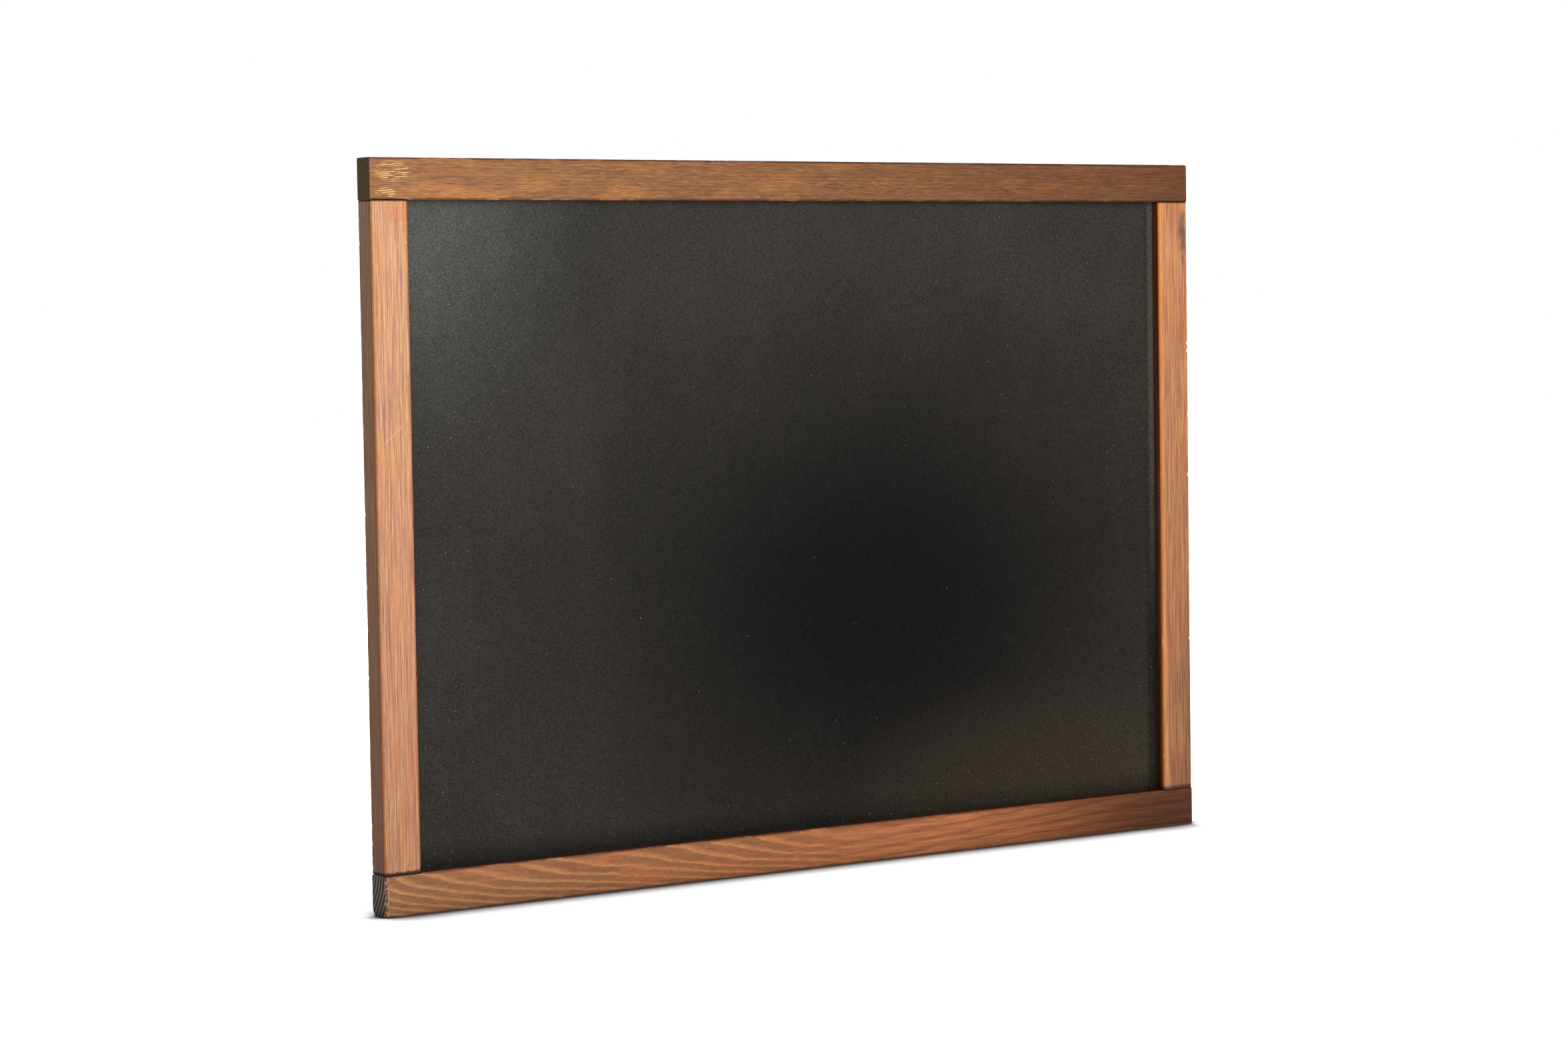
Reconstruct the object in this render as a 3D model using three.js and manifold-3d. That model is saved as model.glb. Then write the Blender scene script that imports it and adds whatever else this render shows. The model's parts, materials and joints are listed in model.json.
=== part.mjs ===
import * as THREE from 'three';
import { mergeVertices } from 'three/addons/utils/BufferGeometryUtils.js';
import Module from 'manifold-3d';

// A wall chalkboard: a stained pine frame of four laths, butt jointed on dowels, round a black writing
// panel that drops into a rebate routed in the back. Two strap hangers with D-rings hold it on the wall.
// Millimetres. +X is right as the reader sees the board, +Z is up and the writing face looks along -Y.
// The origin is the middle of the top rail's back face, where the board meets the wall.

// Board and laths
const boardWidth = 700;
const boardHeight = 500;
const lathWidth = 28;
const lathDepth = 17;
const edgeRadius = 1.3;

// Writing panel: a thin laminate glued on a hardboard core
const panelRecess = 7.5;
const laminateThickness = 0.5;
const coreThickness = 2.5;
const panelPlay = 0.5;

// Rebate, routed after the frame is glued, so its corners keep the cutter's radius
const rebateWidth = 8;
const cutterRadius = 6;

// Two dowels in each corner joint, centred on the full-depth wood outside the rebate
const dowelRadius = 3;
const dowelLength = 38;
const dowelChamfer = 1;
const dowelEndRoom = 1;
const dowelSpacing = 8;

// Panel pins, driven into the rebate's wall and lying across the back of the panel
const pinRadius = 0.6;
const pinLength = 15;
const pinPointLength = 1.5;
const pinHeadRadius = 0.9;
const pinHeadHeight = 0.6;
const pinBite = 7;
const pinSeatGap = 0.1;
const railPinCount = 4;
const stilePinCount = 3;

// Strap hangers: a strip of sheet steel whose top end is curled round the straight side of a D-ring
const hangerDrop = 70;
const strapWidth = 10;
const strapThickness = 0.8;
const strapLength = 31;
const strapCornerRadius = 4;
const curlSweep = THREE.MathUtils.degToRad(300);

// D-ring of round wire, whose ends meet inside the curl
const wireRadius = 1;
const ringPlay = 0.25;
const ringSideRoom = 0.6;
const ringInnerHeight = 10.2;
const ringCornerRadius = 1.4;
const wireEndGap = 0.4;

// Pan head wood screws with a cross recess
const screwRadius = 1.5;
const screwLength = 12;
const screwPointLength = 3;
const screwHeadRadius = 2.8;
const screwHeadHeight = 1.9;
const screwRimHeight = 0.6;
const screwShoulderRadius = 2.24;
const screwCrownRadius = 1.12;
const screwCrownDrop = 0.1;
const recessLength = 3.4;
const recessWidth = 0.9;
const recessDepth = 1.1;
const firstScrewDrop = 17;
const screwPitch = 9;
const strapHoleRadius = 1.8;

// Clearances that all the drilled holes share
const holePlay = 0.2;
const holeEndRoom = 0.5;

// Facets of the round forms
const edgeSegments = 2;
const cutterSegments = 4;
const dowelSides = 20;
const pinSides = 12;
const screwSides = 24;
const curlSegments = 16;
const wireSides = 12;
const wireSteps = 56;

// A cutting tool runs this far past the faces that it opens.
const overrun = 2;

// Sizes that follow from the ones above
const boardTop = lathWidth / 2;
const bottomRailHeight = lathWidth - boardHeight;
const stileLength = boardHeight - 2 * lathWidth;
const stileOffset = (boardWidth - lathWidth) / 2;
const boardMiddleHeight = boardTop - boardHeight / 2;
const depthMiddle = -lathDepth / 2;
const panelFace = -lathDepth + panelRecess;
const panelBack = panelFace + laminateThickness + coreThickness;
const rebateInset = lathWidth - rebateWidth;
const dowelInsets = [(rebateInset - dowelSpacing) / 2, (rebateInset + dowelSpacing) / 2];
const rebateOpeningWidth = boardWidth - 2 * rebateInset;
const rebateOpeningHeight = boardHeight - 2 * rebateInset;
const panelWidth = rebateOpeningWidth - 2 * panelPlay;
const panelHeight = rebateOpeningHeight - 2 * panelPlay;
const panelCornerRadius = cutterRadius - panelPlay;
const sightWidth = boardWidth - 2 * lathWidth;
const sightHeight = stileLength;
const pinDepth = panelBack + pinHeadRadius + pinSeatGap;
const curlInnerRadius = wireRadius + ringPlay;
const curlOuterRadius = curlInnerRadius + strapThickness;
const hangerHeight = boardTop - hangerDrop;
const hangerOffset = (boardWidth - rebateInset) / 2;

const kernel = await Module();
kernel.setup();

// Solid forms, cut with one another

function solidFrom(geometry) {
  const bare = geometry.clone();
  bare.deleteAttribute('normal');
  bare.deleteAttribute('uv');
  const merged = mergeVertices(bare);
  const mesh = new kernel.Mesh({
    numProp: 3,
    vertProperties: new Float32Array(merged.attributes.position.array),
    triVerts: new Uint32Array(merged.index.array),
  });
  return new kernel.Manifold(mesh);
}

function geometryFrom(solid) {
  const mesh = solid.getMesh();
  const geometry = new THREE.BufferGeometry();
  geometry.setAttribute('position', new THREE.BufferAttribute(mesh.vertProperties, 3));
  geometry.setIndex(new THREE.BufferAttribute(mesh.triVerts, 1));
  geometry.computeVertexNormals();
  return geometry;
}

function cutAway(geometry, tools) {
  let solid = solidFrom(geometry);
  for (const tool of tools) {
    solid = solid.subtract(solidFrom(tool));
  }
  return geometryFrom(solid);
}

// Outlines and plain forms

function roundedRectangle(width, height, radius) {
  const x = width / 2 - radius;
  const y = height / 2 - radius;
  const outline = new THREE.Shape();
  outline.absarc(x, y, radius, 0, Math.PI / 2);
  outline.absarc(-x, y, radius, Math.PI / 2, Math.PI);
  outline.absarc(-x, -y, radius, Math.PI, 1.5 * Math.PI);
  outline.absarc(x, -y, radius, 1.5 * Math.PI, 2 * Math.PI);
  return outline;
}

// A plate that stands upright: its outline lies in X and Z, and it is as thick as the depth along +Y.
function uprightPlate(outline, depth, curveSegments) {
  const plate = new THREE.ExtrudeGeometry(outline, { depth, bevelEnabled: false, curveSegments });
  plate.rotateX(Math.PI / 2);
  plate.translate(0, depth, 0);
  return plate;
}

// A turned form about the Z axis, from pairs of radius and height that start and end on the axis.
function turned(profile, sides) {
  const points = profile.map(([radius, height]) => new THREE.Vector2(radius, height));
  const form = new THREE.LatheGeometry(points, sides);
  form.rotateX(Math.PI / 2);
  return form;
}

// A drill as long as given, which starts at height 0 and points up.
function drill(radius, length, sides) {
  return turned([[0, 0], [radius, 0], [radius, length], [0, length]], sides);
}

// Frame

const sides = [-1, 1];

// The router's pocket for the panel: open at the back, as deep as the panel's face.
function routerPocket() {
  const outline = roundedRectangle(rebateOpeningWidth, rebateOpeningHeight, cutterRadius);
  const pocket = uprightPlate(outline, -panelFace + overrun, cutterSegments);
  pocket.translate(0, panelFace, boardMiddleHeight);
  return pocket;
}

// Places of the dowels' middles, all on the faces where the stiles meet the rails.
function dowelPlaces() {
  const places = [];
  for (const [row, height] of [['top', boardTop - lathWidth], ['bottom', bottomRailHeight + lathWidth / 2]]) {
    for (const side of sides) {
      for (const [number, inset] of dowelInsets.entries()) {
        places.push({
          name: `dowel_${row}_${side < 0 ? 'left' : 'right'}_${number + 1}`,
          position: new THREE.Vector3(side * (boardWidth / 2 - inset), depthMiddle, height),
        });
      }
    }
  }
  return places;
}

function dowelHole(place) {
  const length = dowelLength + 2 * dowelEndRoom;
  const hole = drill(dowelRadius + holePlay, length, dowelSides);
  hole.translate(place.position.x, place.position.y, place.position.z - length / 2);
  return hole;
}

// Places of the panel pins. Each pin's own axis is Z, with its head's outer face at height 0.
function pinPlaces() {
  const places = [];
  const reach = pinLength - pinBite;
  const railPitch = sightWidth / railPinCount;
  const stilePitch = sightHeight / stilePinCount;
  for (const [name, up] of [['top', 1], ['bottom', -1]]) {
    for (let i = 0; i < railPinCount; i++) {
      const x = (i + 0.5) * railPitch - sightWidth / 2;
      const z = boardMiddleHeight + up * (rebateOpeningHeight / 2 - reach);
      places.push({
        name: `panel_pin_${name}_${i + 1}`,
        position: new THREE.Vector3(x, pinDepth, z),
        rotation: new THREE.Euler(up > 0 ? 0 : Math.PI, 0, 0),
      });
    }
  }
  for (const side of sides) {
    for (let i = 0; i < stilePinCount; i++) {
      const x = side * (rebateOpeningWidth / 2 - reach);
      const z = boardMiddleHeight + sightHeight / 2 - (i + 0.5) * stilePitch;
      places.push({
        name: `panel_pin_${side < 0 ? 'left' : 'right'}_${i + 1}`,
        position: new THREE.Vector3(x, pinDepth, z),
        rotation: new THREE.Euler(0, side * Math.PI / 2, 0),
      });
    }
  }
  return places;
}

function pinHole(place) {
  const hole = drill(pinRadius + holePlay, pinBite + overrun + holeEndRoom, pinSides);
  hole.translate(0, 0, pinLength - pinBite - overrun);
  hole.applyMatrix4(new THREE.Matrix4().makeRotationFromEuler(place.rotation));
  hole.translate(place.position.x, place.position.y, place.position.z);
  return hole;
}

// Pilot holes under a hanger, drilled into the stile from the back.
function pilotHoles(side) {
  return [0, 1].map((number) => {
    const depth = screwLength - strapThickness + holeEndRoom;
    const hole = drill(screwRadius + holePlay, depth + overrun, screwSides);
    hole.rotateX(Math.PI / 2);
    hole.translate(side * hangerOffset, overrun, hangerHeight - firstScrewDrop - number * screwPitch);
    return hole;
  });
}

// A lath about its own middle: a planed section with its four long edges eased, cut square at its ends.
function lathBlank(length) {
  const section = roundedRectangle(lathWidth, lathDepth, edgeRadius);
  const blank = new THREE.ExtrudeGeometry(section, {
    depth: length,
    bevelEnabled: false,
    curveSegments: edgeSegments,
  });
  blank.translate(0, 0, -length / 2);
  return blank;
}

// Cuts the pocket and the holes of the whole board out of one lath, which then lies about its own middle.
function machinedLath(blank, position, holes) {
  const tools = [routerPocket(), ...holes];
  for (const tool of tools) {
    tool.translate(-position.x, -position.y, -position.z);
  }
  return cutAway(blank, tools);
}

function railGeometry(position) {
  const blank = lathBlank(boardWidth);
  blank.rotateY(Math.PI / 2);
  const row = position.z > boardMiddleHeight ? '_top_' : '_bottom_';
  const holes = [
    ...dowelPlaces().filter((place) => place.name.includes(row)).map(dowelHole),
    ...pinPlaces().filter((place) => place.name.includes(row)).map(pinHole),
  ];
  return machinedLath(blank, position, holes);
}

function stileGeometry(position, side) {
  const column = side < 0 ? '_left_' : '_right_';
  const holes = [
    ...dowelPlaces().filter((place) => place.name.includes(column)).map(dowelHole),
    ...pinPlaces().filter((place) => place.name.includes(column)).map(pinHole),
    ...pilotHoles(side),
  ];
  return machinedLath(lathBlank(stileLength), position, holes);
}

// Beech dowel with chamfered ends, about its own middle.
function dowelGeometry() {
  const half = dowelLength / 2;
  return turned([
    [0, -half],
    [dowelRadius - dowelChamfer, -half],
    [dowelRadius, dowelChamfer - half],
    [dowelRadius, half - dowelChamfer],
    [dowelRadius - dowelChamfer, half],
    [0, half],
  ], dowelSides);
}

// Panel

function panelSheet(thickness) {
  return uprightPlate(roundedRectangle(panelWidth, panelHeight, panelCornerRadius), thickness, cutterSegments);
}

function pinGeometry() {
  return turned([
    [0, 0],
    [pinHeadRadius, 0],
    [pinHeadRadius, pinHeadHeight],
    [pinRadius, pinHeadHeight],
    [pinRadius, pinLength - pinPointLength],
    [0, pinLength],
  ], pinSides);
}

// Hangers. In a hanger's own frame the strap lies on the plane y = 0, and the ring's axis is at height 0.

// The strip seen from its side, in Y and Z: a flat leaf whose top end curls round the wire.
function strapProfile() {
  const profile = new THREE.Shape();
  const end = Math.PI - curlSweep;
  profile.moveTo(strapThickness, -strapLength);
  profile.lineTo(0, -strapLength);
  profile.lineTo(0, 0);
  profile.absarc(curlOuterRadius, 0, curlOuterRadius, Math.PI, end, true);
  profile.absarc(curlOuterRadius, 0, curlInnerRadius, end, Math.PI, false);
  profile.closePath();
  return profile;
}

// The strap seen from behind, with its lower corners rounded.
function strapOutline() {
  const half = strapWidth / 2;
  const inner = half - strapCornerRadius;
  const above = curlOuterRadius + overrun;
  const outline = new THREE.Shape();
  outline.moveTo(half, above);
  outline.lineTo(-half, above);
  outline.absarc(-inner, strapCornerRadius - strapLength, strapCornerRadius, Math.PI, 1.5 * Math.PI);
  outline.absarc(inner, strapCornerRadius - strapLength, strapCornerRadius, 1.5 * Math.PI, 2 * Math.PI);
  outline.closePath();
  return outline;
}

function strapGeometry() {
  const strip = new THREE.ExtrudeGeometry(strapProfile(), {
    depth: strapWidth,
    bevelEnabled: false,
    curveSegments: curlSegments,
  });
  strip.translate(0, 0, -strapWidth / 2);
  const sideOnToUpright = new THREE.Matrix4().makeBasis(
    new THREE.Vector3(0, 1, 0),
    new THREE.Vector3(0, 0, 1),
    new THREE.Vector3(1, 0, 0),
  );
  strip.applyMatrix4(sideOnToUpright);
  const trim = uprightPlate(strapOutline(), 2 * curlOuterRadius + 2 * overrun, cutterSegments);
  trim.translate(0, -overrun, 0);
  let strap = solidFrom(strip).intersect(solidFrom(trim));
  for (const number of [0, 1]) {
    const hole = drill(strapHoleRadius, strapThickness + 2 * overrun, screwSides);
    hole.rotateX(-Math.PI / 2);
    hole.translate(0, -overrun, -firstScrewDrop - number * screwPitch);
    strap = strap.subtract(solidFrom(hole));
  }
  return geometryFrom(strap);
}

// Part of a circle in the X and Z plane, as a path for the wire.
class UprightArc extends THREE.Curve {
  constructor(x, z, radius, from, to) {
    super();
    Object.assign(this, { x, z, radius, from, to });
  }

  getPoint(t, target = new THREE.Vector3()) {
    const angle = this.from + t * (this.to - this.from);
    return target.set(this.x + this.radius * Math.cos(angle), 0, this.z + this.radius * Math.sin(angle));
  }
}

// The middle line of the D-ring: a straight side on the hinge axis, two tight corners and a round bow.
function ringPath() {
  const half = strapWidth / 2 + ringSideRoom + wireRadius;
  const height = ringInnerHeight + 2 * wireRadius;
  const corner = half - ringCornerRadius;
  const bowHeight = half - height;
  const point = (x, z) => new THREE.Vector3(x, 0, z);
  const path = new THREE.CurvePath();
  path.add(new THREE.LineCurve3(point(wireEndGap / 2, 0), point(corner, 0)));
  path.add(new UprightArc(corner, -ringCornerRadius, ringCornerRadius, Math.PI / 2, 0));
  path.add(new THREE.LineCurve3(point(half, -ringCornerRadius), point(half, bowHeight)));
  path.add(new UprightArc(0, bowHeight, half, 0, -Math.PI));
  path.add(new THREE.LineCurve3(point(-half, bowHeight), point(-half, -ringCornerRadius)));
  path.add(new UprightArc(-corner, -ringCornerRadius, ringCornerRadius, Math.PI, Math.PI / 2));
  path.add(new THREE.LineCurve3(point(-corner, 0), point(-wireEndGap / 2, 0)));
  return path;
}

function ringGeometry() {
  const section = new THREE.Shape();
  section.absarc(0, 0, wireRadius, 0, 2 * Math.PI);
  return new THREE.ExtrudeGeometry(section, {
    steps: wireSteps,
    curveSegments: wireSides / 2,
    extrudePath: ringPath(),
  });
}

// Screw about the Z axis, its point down and the flat under its head at height 0, turned to point along -Y.
function screwGeometry() {
  const crown = (screwHeadHeight - screwRimHeight) / 2;
  const form = turned([
    [0, -screwLength],
    [screwRadius, screwPointLength - screwLength],
    [screwRadius, 0],
    [screwHeadRadius, 0],
    [screwHeadRadius, screwRimHeight],
    [screwShoulderRadius, screwRimHeight + crown],
    [screwCrownRadius, screwHeadHeight - screwCrownDrop],
    [0, screwHeadHeight],
  ], screwSides);
  const recess = [0, Math.PI / 2].map((turn) => {
    const arm = new THREE.BoxGeometry(recessLength, recessWidth, 2 * recessDepth);
    arm.rotateZ(turn);
    arm.translate(0, 0, screwHeadHeight);
    return arm;
  });
  const screw = cutAway(form, recess);
  screw.rotateX(-Math.PI / 2);
  return screw;
}

// Materials

const stainedPine = (color) => new THREE.MeshStandardMaterial({ color, roughness: 0.6, metalness: 0 });
const blackLaminate = () => new THREE.MeshStandardMaterial({ color: 0x2f312e, roughness: 0.5, metalness: 0 });
const hardboard = () => new THREE.MeshStandardMaterial({ color: 0x6e4b31, roughness: 0.75, metalness: 0 });
const beech = () => new THREE.MeshStandardMaterial({ color: 0xd8b88c, roughness: 0.7, metalness: 0 });
const zincSteel = () => new THREE.MeshStandardMaterial({ color: 0xb9bbb8, roughness: 0.35, metalness: 1 });
const brightWire = () => new THREE.MeshStandardMaterial({ color: 0x9c9c98, roughness: 0.4, metalness: 1 });

const topRailStain = 0x9d6a44;
const bottomRailStain = 0xa06a44;
const leftStileStain = 0xc48c63;
const rightStileStain = 0xc0824f;

// Assembly

function piece(name, geometry, material, position, rotation) {
  const mesh = new THREE.Mesh(geometry, material);
  mesh.name = name;
  mesh.position.copy(position);
  if (rotation) mesh.rotation.copy(rotation);
  return mesh;
}

function frame() {
  const group = new THREE.Group();
  const rails = [['top_rail', 0, topRailStain], ['bottom_rail', bottomRailHeight, bottomRailStain]];
  for (const [name, height, stain] of rails) {
    const position = new THREE.Vector3(0, depthMiddle, height);
    group.add(piece(name, railGeometry(position), stainedPine(stain), position));
  }
  const stiles = [['left_stile', -1, leftStileStain], ['right_stile', 1, rightStileStain]];
  for (const [name, side, stain] of stiles) {
    const position = new THREE.Vector3(side * stileOffset, depthMiddle, boardMiddleHeight);
    group.add(piece(name, stileGeometry(position, side), stainedPine(stain), position));
  }
  for (const place of dowelPlaces()) {
    group.add(piece(place.name, dowelGeometry(), beech(), place.position));
  }
  return group;
}

function panel() {
  const group = new THREE.Group();
  const facePlace = new THREE.Vector3(0, panelFace, boardMiddleHeight);
  const corePlace = new THREE.Vector3(0, panelFace + laminateThickness, boardMiddleHeight);
  group.add(piece('chalk_laminate', panelSheet(laminateThickness), blackLaminate(), facePlace));
  group.add(piece('panel_core', panelSheet(coreThickness), hardboard(), corePlace));
  for (const place of pinPlaces()) {
    group.add(piece(place.name, pinGeometry(), brightWire(), place.position, place.rotation));
  }
  return group;
}

function hanger(side) {
  const group = new THREE.Group();
  const name = side < 0 ? 'left' : 'right';
  group.add(piece(`${name}_hanger_strap`, strapGeometry(), zincSteel(), new THREE.Vector3()));
  const axis = new THREE.Vector3(0, curlOuterRadius, 0);
  group.add(piece(`${name}_d_ring`, ringGeometry(), zincSteel(), axis));
  for (const number of [0, 1]) {
    const seat = new THREE.Vector3(0, strapThickness, -firstScrewDrop - number * screwPitch);
    group.add(piece(`${name}_hanger_screw_${number + 1}`, screwGeometry(), zincSteel(), seat));
  }
  group.position.set(side * hangerOffset, 0, hangerHeight);
  return group;
}

const chalkboard = new THREE.Group();
chalkboard.add(frame());
chalkboard.add(panel());
for (const side of sides) chalkboard.add(hanger(side));

export default chalkboard;
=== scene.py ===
# %% [markdown]
# A framed chalkboard
#
# The board hangs upright: four stained pine laths round a black writing panel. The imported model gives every
# piece at its real size, in metres, with the writing face towards -Y and the wall towards +Y. This lesson
# dresses it, piece by piece: first the camera and the light, then each piece's shape and finish.

# %% Load the frame
import json
import math

import bmesh
import bpy
from mathutils import Euler, Matrix, Vector, noise


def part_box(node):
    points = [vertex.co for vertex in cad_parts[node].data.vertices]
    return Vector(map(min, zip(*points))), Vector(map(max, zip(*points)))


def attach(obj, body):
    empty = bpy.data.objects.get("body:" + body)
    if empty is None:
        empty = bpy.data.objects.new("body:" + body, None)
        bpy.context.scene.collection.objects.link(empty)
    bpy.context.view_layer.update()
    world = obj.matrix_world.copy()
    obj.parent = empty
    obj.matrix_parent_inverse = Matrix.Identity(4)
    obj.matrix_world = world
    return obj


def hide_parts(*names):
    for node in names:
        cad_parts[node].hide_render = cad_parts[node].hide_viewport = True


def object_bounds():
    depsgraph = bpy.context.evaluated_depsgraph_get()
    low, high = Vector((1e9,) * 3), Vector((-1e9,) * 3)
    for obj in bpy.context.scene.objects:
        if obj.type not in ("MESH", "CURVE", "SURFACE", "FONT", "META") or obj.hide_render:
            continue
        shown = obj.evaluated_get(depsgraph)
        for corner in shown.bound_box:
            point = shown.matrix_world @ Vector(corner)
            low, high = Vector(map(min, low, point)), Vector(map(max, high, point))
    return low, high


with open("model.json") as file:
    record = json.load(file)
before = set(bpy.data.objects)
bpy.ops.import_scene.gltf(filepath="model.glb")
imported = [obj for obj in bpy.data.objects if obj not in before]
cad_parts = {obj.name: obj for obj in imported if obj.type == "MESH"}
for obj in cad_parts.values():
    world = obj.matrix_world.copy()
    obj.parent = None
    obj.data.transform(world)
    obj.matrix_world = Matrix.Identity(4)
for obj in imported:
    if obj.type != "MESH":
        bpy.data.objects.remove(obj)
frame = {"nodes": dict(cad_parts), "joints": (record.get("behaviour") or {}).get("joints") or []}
cad_box = [list(corner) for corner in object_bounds()]
MM = 0.001
left_end, board_front, board_foot = cad_box[0]
board_top = cad_box[1][2]
board_middle = Vector((0.0, board_front / 2, (board_foot + board_top) / 2))
print("nodes:", len(frame["nodes"]), "size in mm:", [round((b - a) / MM, 1) for a, b in zip(*cad_box)])

# %% [markdown]
# The camera
#
# A long lens, about 89 mm on full frame, stands 2.7 m off and 35 degrees to the left, a little above the
# middle of the board, and leans by just under one degree. Two vanishing points and the outline of the frame
# give these figures: a wrong focal length would show as rails that run together too fast. The Standard view
# keeps every tone as it is mixed here, where a film-like view would soften the whites.

# %% Place the camera
scene = bpy.context.scene
focal_length = 88.55
turn_right = math.radians(34.928)
look_down = math.radians(3.269)
lean = math.radians(-0.881)
camera_data = bpy.data.cameras.new("camera")
camera_data.sensor_width = 36.0
camera_data.lens = focal_length
camera = bpy.data.objects.new("camera", camera_data)
scene.collection.objects.link(camera)
camera.location = (-1.5745, -2.2357, -0.0847)
facing = Euler((math.pi / 2 - look_down, 0.0, -turn_right)).to_matrix() @ Matrix.Rotation(lean, 3, "Z")
camera.rotation_euler = facing.to_euler()
scene.camera = camera
scene.view_settings.view_transform = "Standard"
print("camera is", round(camera.location.length, 2), "m from the middle of the top rail")

# %% [markdown]
# Shader nodes
#
# Every finish here is a small network of nodes. It could be drawn by hand in the shader editor, but written
# down it can be read, compared and changed one number at a time. One helper adds a node, sets its plain
# values and links its inputs, so that a finish reads from top to bottom like a recipe.

# %% Node helpers
def feed(tree, node, inputs):
    """Gives each input a number, a colour, or a link from the output of an earlier node."""
    for key, value in inputs.items():
        if isinstance(value, bpy.types.NodeSocket):
            tree.links.new(value, node.inputs[key])
        else:
            node.inputs[key].default_value = value


def add(tree, kind, inputs=None, **settings):
    made = tree.nodes.new(kind)
    for name, value in settings.items():
        setattr(made, name, value)
    feed(tree, made, inputs or {})
    return made


def new_finish(name):
    """A new material, its node tree and its surface shader."""
    material = bpy.data.materials.new(name)
    material.use_nodes = True
    tree = material.node_tree
    return material, tree, tree.nodes["Principled BSDF"]


trial = bpy.data.node_groups.new("trial", "ShaderNodeTree")
trial_noise = add(trial, "ShaderNodeTexNoise", {"Scale": 9.0})
print("a noise node has", len(trial_noise.inputs), "inputs, and one of them is its scale:",
      trial_noise.inputs["Scale"].default_value)
bpy.data.node_groups.remove(trial)

# %% [markdown]
# Sums, ramps and masks
#
# Most of a finish is said in masks: values of 0 to 1 that tell where a mark is. A mask could be painted, but
# a painted one blurs from close by. A ramp over a distance stays sharp at every size. So the small sums
# below measure distances on the board in metres, and ramps turn them into masks.

# %% Sums and ramps
def maths(tree, operation, *values, clamp=False):
    inputs = dict(enumerate(values))
    return add(tree, "ShaderNodeMath", inputs, operation=operation, use_clamp=clamp).outputs[0]


def times(tree, first, *others):
    for other in others:
        first = maths(tree, "MULTIPLY", first, other)
    return first


def times_plus(tree, value, factor, extra):
    return maths(tree, "MULTIPLY_ADD", value, factor, extra)


def minus(tree, first, second):
    return maths(tree, "SUBTRACT", first, second)


def apart(tree, value, centre):
    """How far a value lies from a centre, on either side of it."""
    return maths(tree, "ABSOLUTE", minus(tree, value, centre))


def squared_distance(tree, first, second, centre, reach=None):
    """How far a point lies from a centre, squared. With reach, it is counted in an oval's half sizes."""
    a = minus(tree, first, centre[0])
    b = minus(tree, second, centre[1])
    if reach:
        a = maths(tree, "DIVIDE", a, reach[0])
        b = maths(tree, "DIVIDE", b, reach[1])
    return times_plus(tree, a, a, times(tree, b, b))


def ramp(tree, value, low, high, to_low=0.0, to_high=1.0):
    """Takes a value from low..high to to_low..to_high, with soft ends."""
    inputs = {"Value": value, "From Min": low, "From Max": high, "To Min": to_low, "To Max": to_high}
    return add(tree, "ShaderNodeMapRange", inputs, interpolation_type="SMOOTHSTEP").outputs["Result"]


def fading(tree, value, low, high, most=1.0):
    """Falls from most at low to nothing at high."""
    return ramp(tree, value, low, high, most, 0.0)


trial = bpy.data.node_groups.new("trial", "ShaderNodeTree")
fading(trial, apart(trial, 0.020, 0.010), 1.0 * MM, 2.0 * MM)
print("a stripe with soft sides takes", len(trial.nodes), "nodes")
bpy.data.node_groups.remove(trial)

# %% [markdown]
# Tones
#
# A tone is easiest to choose as an eye reads it on a screen, but the renderer reckons in linear light, so
# each one is converted once. Pores and scratches are too fine to model, so they are noise that drives a bump:
# it bends the light as if the surface were rough, and the mesh stays plain.

# %% Tones, noise and relief
def colour(red, green, blue):
    """A colour as an eye reads it on a screen, 0 to 255, turned into the renderer's linear light."""
    def linear(value):
        value /= 255
        return value / 12.92 if value <= 0.04045 else ((value + 0.055) / 1.055) ** 2.4
    return (linear(red), linear(green), linear(blue), 1.0)


def blend_colour(tree, factor, first, second, mode="MIX"):
    """Mixes two colours. Inputs 0, 6 and 7 of the node are the factor and the two colours."""
    inputs = {0: factor, 6: first, 7: second}
    return add(tree, "ShaderNodeMix", inputs, data_type="RGBA", blend_type=mode).outputs[2]


def tinted(tree, tone, tint, factor=1.0):
    return blend_colour(tree, factor, tone, tint, "MULTIPLY")


def grey(tree, value):
    return add(tree, "ShaderNodeCombineColor", {0: value, 1: value, 2: value}).outputs[0]


def object_place(tree):
    return add(tree, "ShaderNodeTexCoord").outputs["Object"]


def clouds(tree, place, scale, detail, roughness=0.5, distortion=0.0):
    """Noise with about so many waves per metre, from 0 to 1 and mostly near 0.5."""
    inputs = {"Vector": place, "Scale": scale, "Detail": detail, "Roughness": roughness,
              "Distortion": distortion}
    return add(tree, "ShaderNodeTexNoise", inputs).outputs[0]


def relief(tree, height, distance, strength):
    """A bump that stands out by the distance where the height is 1."""
    inputs = {"Height": height, "Distance": distance, "Strength": strength}
    return add(tree, "ShaderNodeBump", inputs).outputs[0]


print("middle grey for the eye is", round(colour(128, 128, 128)[0], 3), "in linear light")

# %% [markdown]
# The studio
#
# The board stands in a white studio. The black panel mirrors the room at a slant: a bright screen beyond its
# upper left, and a dark gap between the screens in its middle. Real cards could stand in the scene for these,
# but the world's colour can be worked out from the direction alone. Then the reflections stay where a real
# room would put them, and nothing stands in the camera's way. The camera itself sees plain white.

# %% World
def direction(azimuth, elevation):
    """A unit vector. Azimuth 0 points to -Y, out of the writing face, and 90 to +X."""
    a = math.radians(azimuth)
    e = math.radians(elevation)
    return Vector((math.sin(a) * math.cos(e), -math.cos(a) * math.cos(e), math.sin(e)))


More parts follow.
